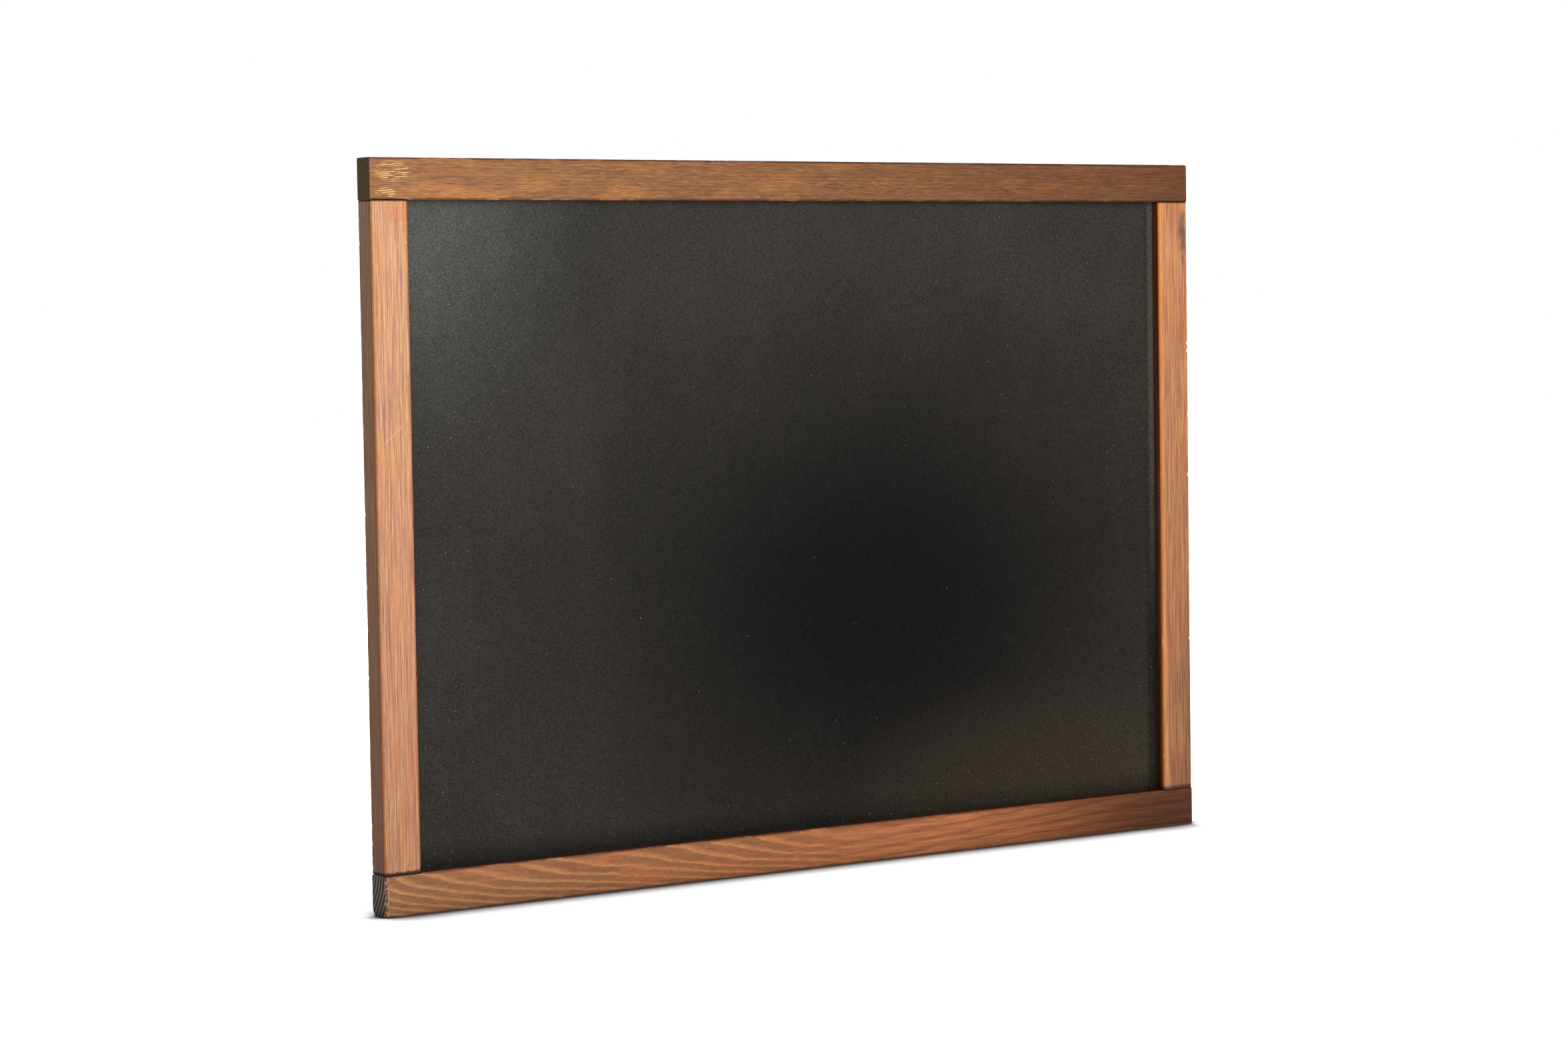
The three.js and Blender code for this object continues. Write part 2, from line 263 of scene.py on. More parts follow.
def nearness(tree, way, centre, inner, outer):
    """1 within inner degrees of a direction and 0 beyond outer degrees."""
    cosine = add(tree, "ShaderNodeVectorMath", {0: way, 1: tuple(centre)}, operation="DOT_PRODUCT")
    return ramp(tree, cosine.outputs["Value"], math.cos(math.radians(outer)), math.cos(math.radians(inner)))


def make_world(screen_way, gap_way):
    dim_left = 0.08
    brighter_right = 0.48
    screen_light = 2.4
    gap_light = 0.03
    world = bpy.data.worlds.new("white_studio")
    world.use_nodes = True
    tree = world.node_tree
    tree.nodes.clear()
    way = add(tree, "ShaderNodeTexCoord").outputs["Generated"]
    parts = add(tree, "ShaderNodeSeparateXYZ", {0: way})
    from_right = ramp(tree, parts.outputs["X"], -0.55, 0.25)
    room = times_plus(tree, from_right, brighter_right, dim_left)
    room = times_plus(tree, nearness(tree, way, screen_way, 5.0, 15.0), screen_light, room)
    gap = nearness(tree, way, gap_way, 9.0, 18.0)
    room = times(tree, room, ramp(tree, gap, 0.0, 1.0, 1.0, gap_light))
    lighting = add(tree, "ShaderNodeBackground", {"Color": (1.0, 0.98, 0.95, 1.0), "Strength": room})
    backdrop = add(tree, "ShaderNodeBackground", {"Color": (1.0, 1.0, 1.0, 1.0), "Strength": 1.0})
    seen = add(tree, "ShaderNodeLightPath").outputs["Is Camera Ray"]
    mixed = add(tree, "ShaderNodeMixShader", {0: seen, 1: lighting.outputs[0], 2: backdrop.outputs[0]})
    add(tree, "ShaderNodeOutputWorld", {"Surface": mixed.outputs[0]})
    return world


scene.world = make_world(screen_way=direction(19.0, 9.0), gap_way=direction(37.0, -7.0))
print("the world mixes", len(scene.world.node_tree.nodes), "nodes")

# %% [markdown]
# Two softboxes
#
# The light is soft and comes from the front, so the outer side of the left stile stays in shade. An area
# light with a wide face gives such light, where a point light would draw hard shadows in the recess. The key
# light isn't mirrored, because the world already shows the panel its screens. A second softbox behind the
# board lights the hardboard and the hangers for views from the back.

# %% Lights
def softbox(name, place, aim, size, power):
    data = bpy.data.lights.new(name, "AREA")
    data.size = size
    data.energy = power
    lamp = bpy.data.objects.new(name, data)
    lamp.location = place
    lamp.rotation_euler = (Vector(aim) - Vector(place)).to_track_quat("-Z", "Y").to_euler()
    scene.collection.objects.link(lamp)
    return lamp


key = softbox("key_softbox", (-0.25, -2.4, 0.9), board_middle, 1.2, 30.0)
key.visible_glossy = False
rear = softbox("rear_softbox", (0.9, 2.4, 0.7), board_middle, 1.6, 34.0)
print("lights:", key.name, key.data.energy, "W and", rear.name, rear.data.energy, "W")

# %% [markdown]
# The floor
#
# A pale floor under the bottom rail shows a soft painted shadow. Plain white paint would still show as a
# grey sheet with an edge, so the floor gives off a little light of its own and runs into the white backdrop.
# Ambient occlusion finds where the rail is close, and only there the paint turns dark and its own light goes
# out.

# %% Floor
def studio_paint():
    material, tree, surface = new_finish("floor_paint")
    shade_reach = 0.045
    # Painted contact shadow: the floor paint turns this dark where the rail is close.
    painted_contact_shadow = (0.06, 0.062, 0.065, 1.0)
    open_floor = (0.87, 0.89, 0.92, 1.0)
    open_sky = add(tree, "ShaderNodeAmbientOcclusion", {"Distance": shade_reach}, samples=8).outputs["AO"]
    feed(tree, surface, {
        "Base Color": blend_colour(tree, ramp(tree, open_sky, 0.52, 0.94), painted_contact_shadow, open_floor),
        "Roughness": 0.9,
        "Specular IOR Level": 0.0,
        "Emission Color": (1.0, 1.0, 1.0, 1.0),
        "Emission Strength": ramp(tree, open_sky, 0.50, 0.98, 0.0, 0.80),
    })
    return material


floor_half_width = 8.0
floor_mesh = bpy.data.meshes.new("studio_floor")
shape = bmesh.new()
bmesh.ops.create_grid(shape, x_segments=1, y_segments=1, size=floor_half_width)
bmesh.ops.translate(shape, vec=(0.0, 0.0, board_foot), verts=shape.verts)
shape.to_mesh(floor_mesh)
shape.free()
studio_floor = bpy.data.objects.new("studio_floor", floor_mesh)
scene.collection.objects.link(studio_floor)
floor_mesh.materials.append(studio_paint())
studio_floor.visible_glossy = False
print("floor at", round(board_foot / MM, 1), "mm")

# %% [markdown]
# Shaping tools
#
# The pieces start as boxes, discs and outlines, which a maker would saw, plane and bend. A bmesh is Blender's
# mesh while it is being worked on. Its operators do the same jobs: bevel eases an edge, bisect scores a line
# across a face, and a modifier cuts one solid out of another.

# %% Shaping tools
def soft_step(value, start, finish):
    t = min(max((value - start) / (finish - start), 0.0), 1.0)
    return t * t * (3.0 - 2.0 * t)


def unit(axis):
    return Vector([1.0 if k == axis else 0.0 for k in range(3)])


def box_shape(low, high):
    low, high = Vector(low), Vector(high)
    shape = bmesh.new()
    bmesh.ops.create_cube(shape, size=1.0)
    bmesh.ops.scale(shape, vec=high - low, verts=shape.verts)
    bmesh.ops.translate(shape, vec=(low + high) / 2, verts=shape.verts)
    return shape


def edges_along(shape, axis):
    return [e for e in shape.edges if abs((e.verts[1].co - e.verts[0].co).normalized()[axis]) > 0.99]


def bevel(shape, edges, offset, segments):
    bmesh.ops.bevel(shape, geom=edges, offset=offset, segments=segments, profile=0.5, affect="EDGES",
                    material=-1)


def cut_loops(shape, axis, places):
    """Adds a loop of edges at each of these places along an axis."""
    normal = unit(axis)
    for place in places:
        everything = shape.verts[:] + shape.edges[:] + shape.faces[:]
        bmesh.ops.bisect_plane(shape, geom=everything, dist=1e-7, plane_co=normal * place, plane_no=normal)


trial = box_shape((0.0, 0.0, 0.0), (MM, MM, MM))
print("a box has", len(edges_along(trial, 2)), "edges that stand along Z")
trial.free()

# %% [markdown]
# From a shape to a piece
#
# A finished shape becomes an object at the origin, with its place in its mesh, so that a pattern that reads
# the object's coordinates never slides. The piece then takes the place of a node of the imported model, rides
# on that node's body and says which material slot it belongs to.

# %% Piece tools
same_place = 1e-6
sliver = 3e-6
smooth_up_to = math.radians(35.0)


def object_from(shape, name):
    bmesh.ops.remove_doubles(shape, verts=shape.verts, dist=same_place)
    bmesh.ops.recalc_face_normals(shape, faces=shape.faces)
    mesh = bpy.data.meshes.new(name)
    shape.to_mesh(mesh)
    shape.free()
    made = bpy.data.objects.new(name, mesh)
    scene.collection.objects.link(made)
    return made


def apply_modifiers(piece):
    """Gives a piece the mesh that its modifiers make, and takes them off."""
    before = piece.data
    depsgraph = bpy.context.evaluated_depsgraph_get()
    piece.data = bpy.data.meshes.new_from_object(piece.evaluated_get(depsgraph))
    piece.modifiers.clear()
    bpy.data.meshes.remove(before)


def carve(piece, cutter_shape):
    """Cuts a shape out of a piece, and merges the slivers that the cut leaves."""
    cutter = object_from(cutter_shape, "cutter")
    cut = piece.modifiers.new("cut", "BOOLEAN")
    cut.operation = "DIFFERENCE"
    cut.solver = "EXACT"
    cut.object = cutter
    apply_modifiers(piece)
    bpy.data.objects.remove(cutter)
    clean = bmesh.new()
    clean.from_mesh(piece.data)
    bmesh.ops.remove_doubles(clean, verts=clean.verts, dist=sliver)
    bmesh.ops.dissolve_degenerate(clean, edges=clean.edges, dist=sliver)
    clean.to_mesh(piece.data)
    clean.free()


def fit_in(piece, node, body, material):
    """Shades a piece, gives it its finish, and puts it in the place of a node of the frame."""
    mesh = piece.data
    mesh.polygons.foreach_set("use_smooth", [True] * len(mesh.polygons))
    mesh.set_sharp_from_angle(angle=smooth_up_to)
    mesh.materials.clear()
    mesh.materials.append(material)
    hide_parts(node)
    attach(piece, body)
    print(piece.name, len(mesh.polygons), "faces")


def give_finish(node, material):
    """Puts a finish on a node of the frame that keeps its own shape."""
    frame["nodes"][node].material_slots[0].material = material


# %% [markdown]
# The laths
#
# Two rails run the full width, and two stiles stand between them. Shape and finish both ask the same of a
# lath: which way its grain runs, and which of its sides looks at the panel. So this is worked out once, from
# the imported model's boxes.

# %% Where the laths lie
class Lath:
    """A lath's box, the numbers of its axes along and across the grain, and where its inner side is."""

    def __init__(self, node):
        self.node = node
        self.low, self.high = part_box(node)
        self.middle = [(a + b) / 2 for a, b in zip(self.low, self.high)]
        self.half = [(b - a) / 2 for a, b in zip(self.low, self.high)]
        self.grain = 2 if node.endswith("stile") else 0
        self.across = 2 - self.grain
        self.sides = [k for k in range(3) if k != self.grain]
        self.outward = 1.0 if self.middle[self.across] > board_middle[self.across] else -1.0
        self.inner = self.middle[self.across] - self.outward * self.half[self.across]


laths = {node: Lath(node) for node in ("top_rail", "bottom_rail", "left_stile", "right_stile")}
for node, lath in laths.items():
    print(node, "has its inner side at", round(lath.inner / MM, 1), "mm")

# %% [markdown]
# Planed laths
#
# Each lath starts as a box of its real size. A bevel eases its four long edges, the arrises. Loops across and
# along it make room for small damage, because no real arris is perfectly straight. Two kinds matter at this
# size: a slow unevenness of a tenth of a millimetre, and nicks of up to 0.6 mm where the frame was knocked.
# Both only take wood away, towards the lath's middle, so the outline never grows. The saw leaves the ends
# square, with only a touch of wear.

# %% Worn lath
def wear_arrises(shape, lath, seed, nicks):
    """Takes wood off near the four long arrises. nicks is the depth of the deepest dent."""
    everyday = 0.09 * MM
    slow_waves = 120.0
    dent_waves = 330.0
    for vert in shape.verts:
        offsets = [vert.co[k] - lath.middle[k] for k in lath.sides]
        depths = [lath.half[k] - abs(offset) for k, offset in zip(lath.sides, offsets)]
        weight = 1.0 - soft_step(sum(depths), 1.2 * MM, 3.4 * MM)
        if weight <= 0.0:
            continue
        which_arris = Vector([math.copysign(40.0, offset) for offset in offsets] + [seed])
        along = vert.co[lath.grain]
        slow = noise.noise(which_arris + Vector((along * slow_waves, 0.0, 0.0)))
        dent = noise.noise(which_arris + Vector((0.0, along * dent_waves, 7.0)))
        loss = everyday * (0.5 + slow) + nicks * soft_step(dent, 0.32, 0.62)
        for k, offset in zip(lath.sides, offsets):
            vert.co[k] -= math.copysign(weight * max(loss, 0.0), offset)


def ease_end(shape, grain, place, offset):
    """Breaks the sharp edge round a sawn end."""
    rim = [e for e in shape.edges
           if all(abs(v.co[grain] - place) < same_place for v in e.verts) and len(e.link_faces) == 2
           and any(abs(f.normal[grain]) < 0.5 for f in e.link_faces)]
    bevel(shape, rim, offset, 2)


def planed_lath(lath, seed, nicks, end_wear):
    """A lath with eased and worn arrises. end_wear holds the bevels of its two sawn ends."""
    arris = 1.3 * MM
    clear_of_arris = 1.8 * MM
    step = 2.0 * MM
    low, high = lath.low, lath.high
    shape = box_shape(low, high)
    bevel(shape, edges_along(shape, lath.grain), arris, 4)
    lengths = round((high[lath.grain] - low[lath.grain]) / step)
    bmesh.ops.subdivide_edges(shape, edges=edges_along(shape, lath.grain), cuts=lengths - 1)
    for k in lath.sides:
        loops = round((high[k] - low[k]) / step)
        width = high[k] - low[k] - 2 * clear_of_arris
        cut_loops(shape, k, [low[k] + clear_of_arris + width * i / (loops - 1) for i in range(loops)])
    wear_arrises(shape, lath, seed, nicks)
    for place, offset in zip((low[lath.grain], high[lath.grain]), end_wear):
        ease_end(shape, lath.grain, place, offset)
    return shape


rail_ends = (0.3 * MM, 0.3 * MM)
stile_ends = (0.5 * MM, 0.2 * MM)
lath_shapes = {
    "top_rail": planed_lath(laths["top_rail"], 3.1, 0.25 * MM, rail_ends),
    "bottom_rail": planed_lath(laths["bottom_rail"], 17.7, 0.35 * MM, rail_ends),
    "left_stile": planed_lath(laths["left_stile"], 41.3, 0.25 * MM, stile_ends),
    "right_stile": planed_lath(laths["right_stile"], 65.9, 0.60 * MM, stile_ends),
}
print("faces of the worn laths:", [len(shape.faces) for shape in lath_shapes.values()])

# %% [markdown]
# A knocked corner and the recess
#
# The bottom rail's lower back corner was knocked round at its left end. The recess for the panel is routed
# from behind after the frame is glued, in one go through all four laths, so its corners keep the cutter's
# radius. One box with bevelled corners does the same here: it is cut out of each lath in turn.

# %% Knock and router pocket
def knock(shape, corner, reach, depth, inward):
    """Dents a corner: the nearer a point is, the further it is pushed in."""
    for vert in shape.verts:
        near = 1.0 - soft_step((vert.co - Vector(corner)).length, 0.0, reach)
        vert.co += Vector(inward).normalized() * depth * near


def router_pocket():
    play = 0.5 * MM
    behind = 2.0 * MM
    cutter_radius = 6.0 * MM
    low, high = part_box("chalk_laminate")
    shape = box_shape((low[0] - play, low[1], low[2] - play), (high[0] + play, behind, high[2] + play))
    bevel(shape, edges_along(shape, 1), cutter_radius, 8)
    return shape


bottom_lath = laths["bottom_rail"]
back_corner = (bottom_lath.low[0], bottom_lath.high[1], bottom_lath.low[2])
knock(lath_shapes["bottom_rail"], back_corner, 6 * MM, 1.4 * MM, (0.1, -1.0, 0.6))
pine_laths = {}
for node, lath_shape in lath_shapes.items():
    pine_laths[node] = object_from(lath_shape, node + "_lath")
    carve(pine_laths[node], router_pocket())
    print(node, "keeps", len(pine_laths[node].data.polygons), "faces once it is routed")

# %% [markdown]
# Wood grain
#
# Planed pine shows its year rings as fine lines along a lath and as arcs on its sawn ends. A flat picture of
# wood can't do both. A solid pattern can: the distance from the heart of the tree, bent a little by noise, is
# cut into rings, and each lath has its own heart. Noise that is drawn out along the grain gives the streaks.

# %% Grain
slow_bend_waves = 5.0
quick_bend_waves = 40.0


def wood_axes(tree, grain):
    """Object coordinates as (along, depth, across) the grain, which lies along X or stands along Z."""
    parts = add(tree, "ShaderNodeSeparateXYZ", {0: object_place(tree)})
    x, y, z = (parts.outputs[name] for name in "XYZ")
    return (z, y, x) if grain == 2 else (x, y, z)


def wood_noise(tree, axes, along, across, detail=3.0, roughness=0.55, shift=0.0):
    """Noise with so many waves per metre along the grain and across it."""
    place = add(tree, "ShaderNodeCombineXYZ", {
        0: times_plus(tree, axes[0], along, shift),
        1: times(tree, axes[1], across),
        2: times(tree, axes[2], across),
    })
    return clouds(tree, place.outputs[0], 1.0, detail, roughness)


def year_rings(tree, axes, heart, spacing, wander, slope=0.0, swerve=None):
    """0 in the soft spring wood and 1 in the narrow summer wood of each year.

    heart is the tree's middle as (depth, across), spacing the width of a year, wander how far noise bends the
    rings and slope how fast the grain leans. swerve is (size, start, length): the grain runs askew near one
    end and straightens out along the lath.
    """
    along, depth, across = axes
    radius = maths(tree, "SQRT", squared_distance(tree, depth, across, heart))
    radius = times_plus(tree, along, slope, radius)
    if swerve:
        size, start, length = swerve
        askew = maths(tree, "EXPONENT", maths(tree, "DIVIDE", minus(tree, start, along), length))
        radius = times_plus(tree, askew, size, radius)
    for waves, strength in ((slow_bend_waves, wander), (quick_bend_waves, wander * 0.24)):
        bend = minus(tree, wood_noise(tree, axes, waves, 4 * waves, 2.0), 0.5)
        radius = times_plus(tree, bend, strength, radius)
    year = maths(tree, "FRACT", maths(tree, "DIVIDE", radius, spacing))
    return times(tree, ramp(tree, year, 0.42, 0.82), fading(tree, year, 0.88, 1.0))


bends = [round(1 / waves / MM) for waves in (slow_bend_waves, quick_bend_waves)]
print("the rings bend slowly over", bends[0], "mm and quickly over", bends[1], "mm")

# %% [markdown]
# Stain in the joints, and stain and painted shade in the recess
#
# Stain pools where a stile's end meets a rail, and is ragged where the saw's torn fibres held more of it. The
# recess between the front and the panel is dark too: partly a thick coat of stain where no cloth reaches in,
# partly painted shade where its walls lie in shadow. Both could be painted on, but a mask over the distance
# from the lath's own sides stays put when a size changes.

# %% Stain in the joints, and stain and painted shade in the recess
rail_stain_reach = 1.0 * MM
stile_stain_reach = 1.1 * MM


def torn_edge(tree, axes, depth, tear, start, finish, strength):
    """Stain that reaches in from a joint, further in some places, where torn fibres held more of it."""
    torn = wood_noise(tree, axes, 420.0, 1000.0, 3.0, shift=4.0)
    return fading(tree, times_plus(tree, minus(tree, torn, 0.5), tear, depth), start, finish, strength)


def stile_joint_stain(tree, axes, lath, lower_share, tear, strength):
    """At a stile's ends. The lower joint held more: depths count for less there, by lower_share."""
    middle = lath.middle[2]
    from_end = minus(tree, lath.half[2], apart(tree, axes[0], middle))
    depth = times(tree, from_end, ramp(tree, axes[0], middle - 0.1, middle, lower_share, 1.0))
    return torn_edge(tree, axes, depth, tear, 0.4 * MM, stile_stain_reach, strength)


def rail_joint_stain(tree, axes, lath):
    """On a rail, along the side that the stiles meet, and only there."""
    stile_inner = laths["right_stile"].inner
    by_stile = ramp(tree, apart(tree, axes[0], 0.0), stile_inner - 0.8 * MM, stile_inner)
    depth = apart(tree, axes[2], lath.inner)
    return times(tree, torn_edge(tree, axes, depth, 0.8 * MM, 0.5 * MM, rail_stain_reach, 0.9), by_stile)


def recess_stain_and_shade(tree, axes, lath):
    """On the inner side, between the front and the panel. Towards the right stile's foot it starts deeper."""
    # The recess wall gets a dark coat of stain and painted shade where it lies in shadow.
    inset = times(tree, minus(tree, axes[2], lath.inner), lath.outward)
    wavy = times_plus(tree, wood_noise(tree, axes, 40.0, 40.0, 2.0), 0.9 * MM, inset)
    on_wall = fading(tree, wavy, 0.55 * MM, 0.95 * MM)
    deep = ramp(tree, axes[1], board_front + 0.4 * MM, board_front + 2.0 * MM)
    if lath.node == "right_stile":
        deeper = ramp(tree, axes[1], board_front + 1.0 * MM, board_front + 4.5 * MM)
        upper = ramp(tree, axes[0], -0.42, -0.12)
        deep = times(tree, deep, maths(tree, "MAXIMUM", deeper, upper))
    return times(tree, on_wall, deep, 0.88)


print("joint stain in mm:", rail_stain_reach / MM, "into a rail,", stile_stain_reach / MM, "into a stile")

# %% [markdown]
# Worn arrises, painted shade and sawn ends
#
# Three more masks come from where a face looks and how near it is to an edge. Hands rub the arrises bare in
# places; on the rails the same mask carries a dark tone, painted shade on their rounded edges. The narrow
# sides are darker: a darker coat of stain, and painted shade where they turn from the light. The open grain
# of the sawn ends drinks most and is nearly black, with the year rings as pale arcs.

# %% Arris, flank and end
bare_reach = 2.0 * MM


def arris_wear_and_shade(tree, axes, lath, rubbed):
    """Near 1 on marked arrises: worn on stiles, painted shade on rails. Higher rubbed, fewer marks."""
    from_sides = [minus(tree, lath.half[k], apart(tree, socket, lath.middle[k]))
                  for socket, k in ((axes[1], 1), (axes[2], lath.across))]
    round_corner = maths(tree, "ADD", *from_sides)
    on_arris = fading(tree, round_corner, bare_reach / 2, bare_reach)
    bare = ramp(tree, wood_noise(tree, axes, 60.0, 90.0, 3.0), rubbed, rubbed + 0.16)
    return times(tree, on_arris, bare, 0.85)


def looks_along(tree, axis):
    """1 on a face that looks along an axis, either way, and 0 on one that looks square to it."""
    normal = add(tree, "ShaderNodeNewGeometry").outputs["Normal"]
    dot = add(tree, "ShaderNodeVectorMath", {0: normal, 1: tuple(unit(axis))}, operation="DOT_PRODUCT")
    return maths(tree, "ABSOLUTE", dot.outputs["Value"])


def sawn_end(tree, axes, lath):
    near_end = apart(tree, axes[0], lath.middle[lath.grain])
    half_length = lath.half[lath.grain]
    last_bit = ramp(tree, near_end, half_length - 3 * MM, half_length - 2 * MM)
    return times(tree, ramp(tree, looks_along(tree, lath.grain), 0.55, 0.85), last_bit)


def along_lath(tree, axes, lath):
    """0 at the left or lower end of a lath and 1 at its other end."""
    inputs = {"Value": axes[0], "From Min": lath.low[lath.grain], "From Max": lath.high[lath.grain]}
    return add(tree, "ShaderNodeMapRange", inputs).outputs["Result"]


# On the rails this mask carries painted shade on the rounded edges rather than bare wood.
print("an arris is rubbed bare within", bare_reach / MM, "mm of its corner, measured round it")

# %% [markdown]
# Stained pine
#
# The soft spring wood drinks the stain and turns dark, and the hard summer wood stays lighter. Fine fibres
# run through both, a third of a millimetre apart. One recipe makes all four finishes, coat by coat: rings and
# streaks first, thin patches and fibres next, then the lath's own marks, the worn and the dark places with
# their painted shade, the sawn ends, and a slow fall-off along the lath, painted shade where the light
# weakens. Four copied networks would drift apart, but one function with named values keeps the laths a
# family and still lets each differ.

# %% Recipe for stained pine
def planed_tone(tree, axes, rings, streaks, tones, contrast, ring_share):
    """tones are those of the spring wood, of the summer wood and of patches where the stain is thin."""
    spring, summer, thin = tones
    ring_part = times_plus(tree, rings, ring_share, 0.45 - ring_share / 3)
    pattern = maths(tree, "MULTIPLY_ADD", minus(tree, streaks, 0.5), 2.0 * contrast, ring_part, clamp=True)
    tone = blend_colour(tree, pattern, spring, summer)
    blotches = wood_noise(tree, axes, 16.0, 70.0, 2.0, 0.5, shift=9.0)
    return blend_colour(tree, ramp(tree, blotches, 0.50, 0.72, 0.0, 0.6), tone, thin)


def stained_pine(node, heart, spacing, wander, tones, arris, sawn, painted_falloff, contrast, ring_share, marks,
                 slope=0.0, swerve=None, sawn_spacing=2.4 * MM, rubbed=0.36, fibre_waves=30.0,
                 fibre_depth=1.0, flank_stain_and_shade=(0.62, 0.62, 0.64, 1.0), joint=None):
    """heart, spacing, wander, slope and swerve are those of the year rings, tones those of the planed wood.

    sawn holds the two tones of the sawn ends; the falloff tints paint shade at the lath's two ends.
    marks is the function that adds what only this lath has. joint holds a stile's values for the stain in
    its joints.
    """
    lath = laths[node]
    material, tree, surface = new_finish("pine_" + node)
    axes = wood_axes(tree, lath.grain)
    rings = year_rings(tree, axes, heart, spacing, wander, slope, swerve)
    streaks = wood_noise(tree, axes, 24.0, 640.0, 3.0, 0.6)
    tone = planed_tone(tree, axes, rings, streaks, tones, contrast, ring_share)

    fibres = ramp(tree, wood_noise(tree, axes, fibre_waves, 2900.0, 1.0, shift=12.0), 0.36, 0.64)
    fibre_tint = blend_colour(tree, fibres, (0.74, 0.63, 0.78, 1.0), (1.27, 1.37, 1.18, 1.0))
    tone = tinted(tree, tone, fibre_tint, fibre_depth)
    tone = marks(tree, axes, tone, streaks)

    # Arrises: lighter worn wood on the stiles; on the rails a dark tone, painted shade on the rounded edges.
    tone = blend_colour(tree, arris_wear_and_shade(tree, axes, lath, rubbed), tone, arris)
    pooled = stile_joint_stain(tree, axes, lath, *joint) if joint else rail_joint_stain(tree, axes, lath)
    tone = blend_colour(tree, pooled, tone, colour(34, 18, 10))
    # The recess wall: a dark coat of stain, and painted shade where the wall lies in shadow.
    tone = blend_colour(tree, recess_stain_and_shade(tree, axes, lath), tone, colour(84, 44, 22))

    # Narrow sides: a darker coat of stain, and painted shade where they turn from the light.
    on_flank = ramp(tree, looks_along(tree, lath.across), 0.80, 0.98)
    tone = blend_colour(tree, on_flank, tone, tinted(tree, tone, flank_stain_and_shade))
    open_end = sawn_end(tree, axes, lath)
    arcs = year_rings(tree, axes, heart, sawn_spacing, wander)
    tone = blend_colour(tree, open_end, tone, blend_colour(tree, arcs, *sawn))
    # Painted shade: each lath darkens towards one end, as the light falls off across the board.
    tone = tinted(tree, tone, blend_colour(tree, along_lath(tree, axes, lath), *painted_falloff))
    flecks = wood_noise(tree, axes, 190.0, 1400.0, 2.0, 0.6, shift=3.0)
    fleck_shade = times_plus(tree, minus(tree, flecks, 0.5), 0.9 * contrast, 1.0)

    gloss = times_plus(tree, open_end, 0.3, times_plus(tree, streaks, 0.22, 0.36))
    height = times_plus(tree, flecks, 0.5, times_plus(tree, rings, 0.5, streaks))
    height = times_plus(tree, fibres, 0.3, height)
    feed(tree, surface, {
        "Base Color": tinted(tree, tone, grey(tree, fleck_shade)),
        "Specular IOR Level": 0.25,
        "Roughness": gloss,
        "Normal": relief(tree, height, 0.12 * MM, 0.5),
    })
    print(material.name, "has", len(tree.nodes), "nodes")
    return material


# %% [markdown]
# The top rail's finish
#
# The top rail is dark wood, and its right end is darker still, painted shade where the light falls off.
# Near its left end the fine hard lines never took the stain and shine like brass. They follow the grain, so
# they are year rings too, finer ones, which show only inside two ovals and are broken up by noise.

# %% Top rail
def front_only(tree, axes):
    return fading(tree, axes[1], board_front + 0.5 * MM, board_front + 1.5 * MM)


def patch(tree, axes, centre, reach):
    """1 in the middle of an oval patch, 0 from its rim on. Both are given along and across the grain."""
    return fading(tree, squared_distance(tree, axes[0], axes[2], centre, reach), 0.35, 1.0)


def unstained_streaks(tree, axes, tone, streaks):
    on_front = front_only(tree, axes)
    near_middle = patch(tree, axes, (0.08, 0.0), (450 * MM, 16 * MM))
    rare = ramp(tree, wood_noise(tree, axes, 80.0, 700.0, 2.0, shift=8.0), 0.63, 0.70, 0.0, 0.5)
    tone = blend_colour(tree, times(tree, near_middle, rare, on_front), tone, colour(216, 146, 88))

    fine_lines = year_rings(tree, axes, (0.017, -0.038), 0.95 * MM, 1.4 * MM, slope=-0.05)
    upper = patch(tree, axes, (left_end + 17 * MM, 5 * MM), (15 * MM, 8 * MM))
    lower = patch(tree, axes, (left_end + 11.5 * MM, -9.2 * MM), (9 * MM, 4 * MM))
    broken = ramp(tree, wood_noise(tree, axes, 110.0, 600.0, 2.0, shift=5.0), 0.40, 0.56)
    where = times(tree, maths(tree, "MAXIMUM", upper, lower), broken, on_front)
    brassy = times(tree, where, ramp(tree, fine_lines, 0.25, 0.8))
    return blend_colour(tree, brassy, tone, colour(255, 216, 136))


pine = {}
pine["top_rail"] = stained_pine(
    "top_rail", heart=(0.017, -0.038), spacing=1.90 * MM, wander=1.8 * MM, slope=0.002,
    tones=(colour(128, 84, 54), colour(170, 120, 78), colour(182, 122, 68)), arris=colour(96, 58, 34),
    sawn=(colour(36, 26, 14), colour(146, 118, 78)), sawn_spacing=1.6 * MM,
    painted_falloff=((1.0, 1.0, 1.0, 1.0), (0.42, 0.34, 0.29, 1.0)), contrast=0.62, ring_share=0.2,
    fibre_waves=110.0, fibre_depth=0.8, marks=unstained_streaks,
)

# %% [markdown]
# The bottom rail's finish
#
# This lath was cut askew near its left end, so its rings run out in long waves there and straighten to the
# right. Past its middle the grain is calmer, with thin dark lines, and towards the right end it is darker,
# painted shade where the light falls off. Its left end is chipped along the front corner: bare red-brown
# wood with a pale rim of splinters, lit by a painted highlight where the chip's edge catches the light. The
# chip is too shallow to model, so it is painted, with noise for its ragged edge.

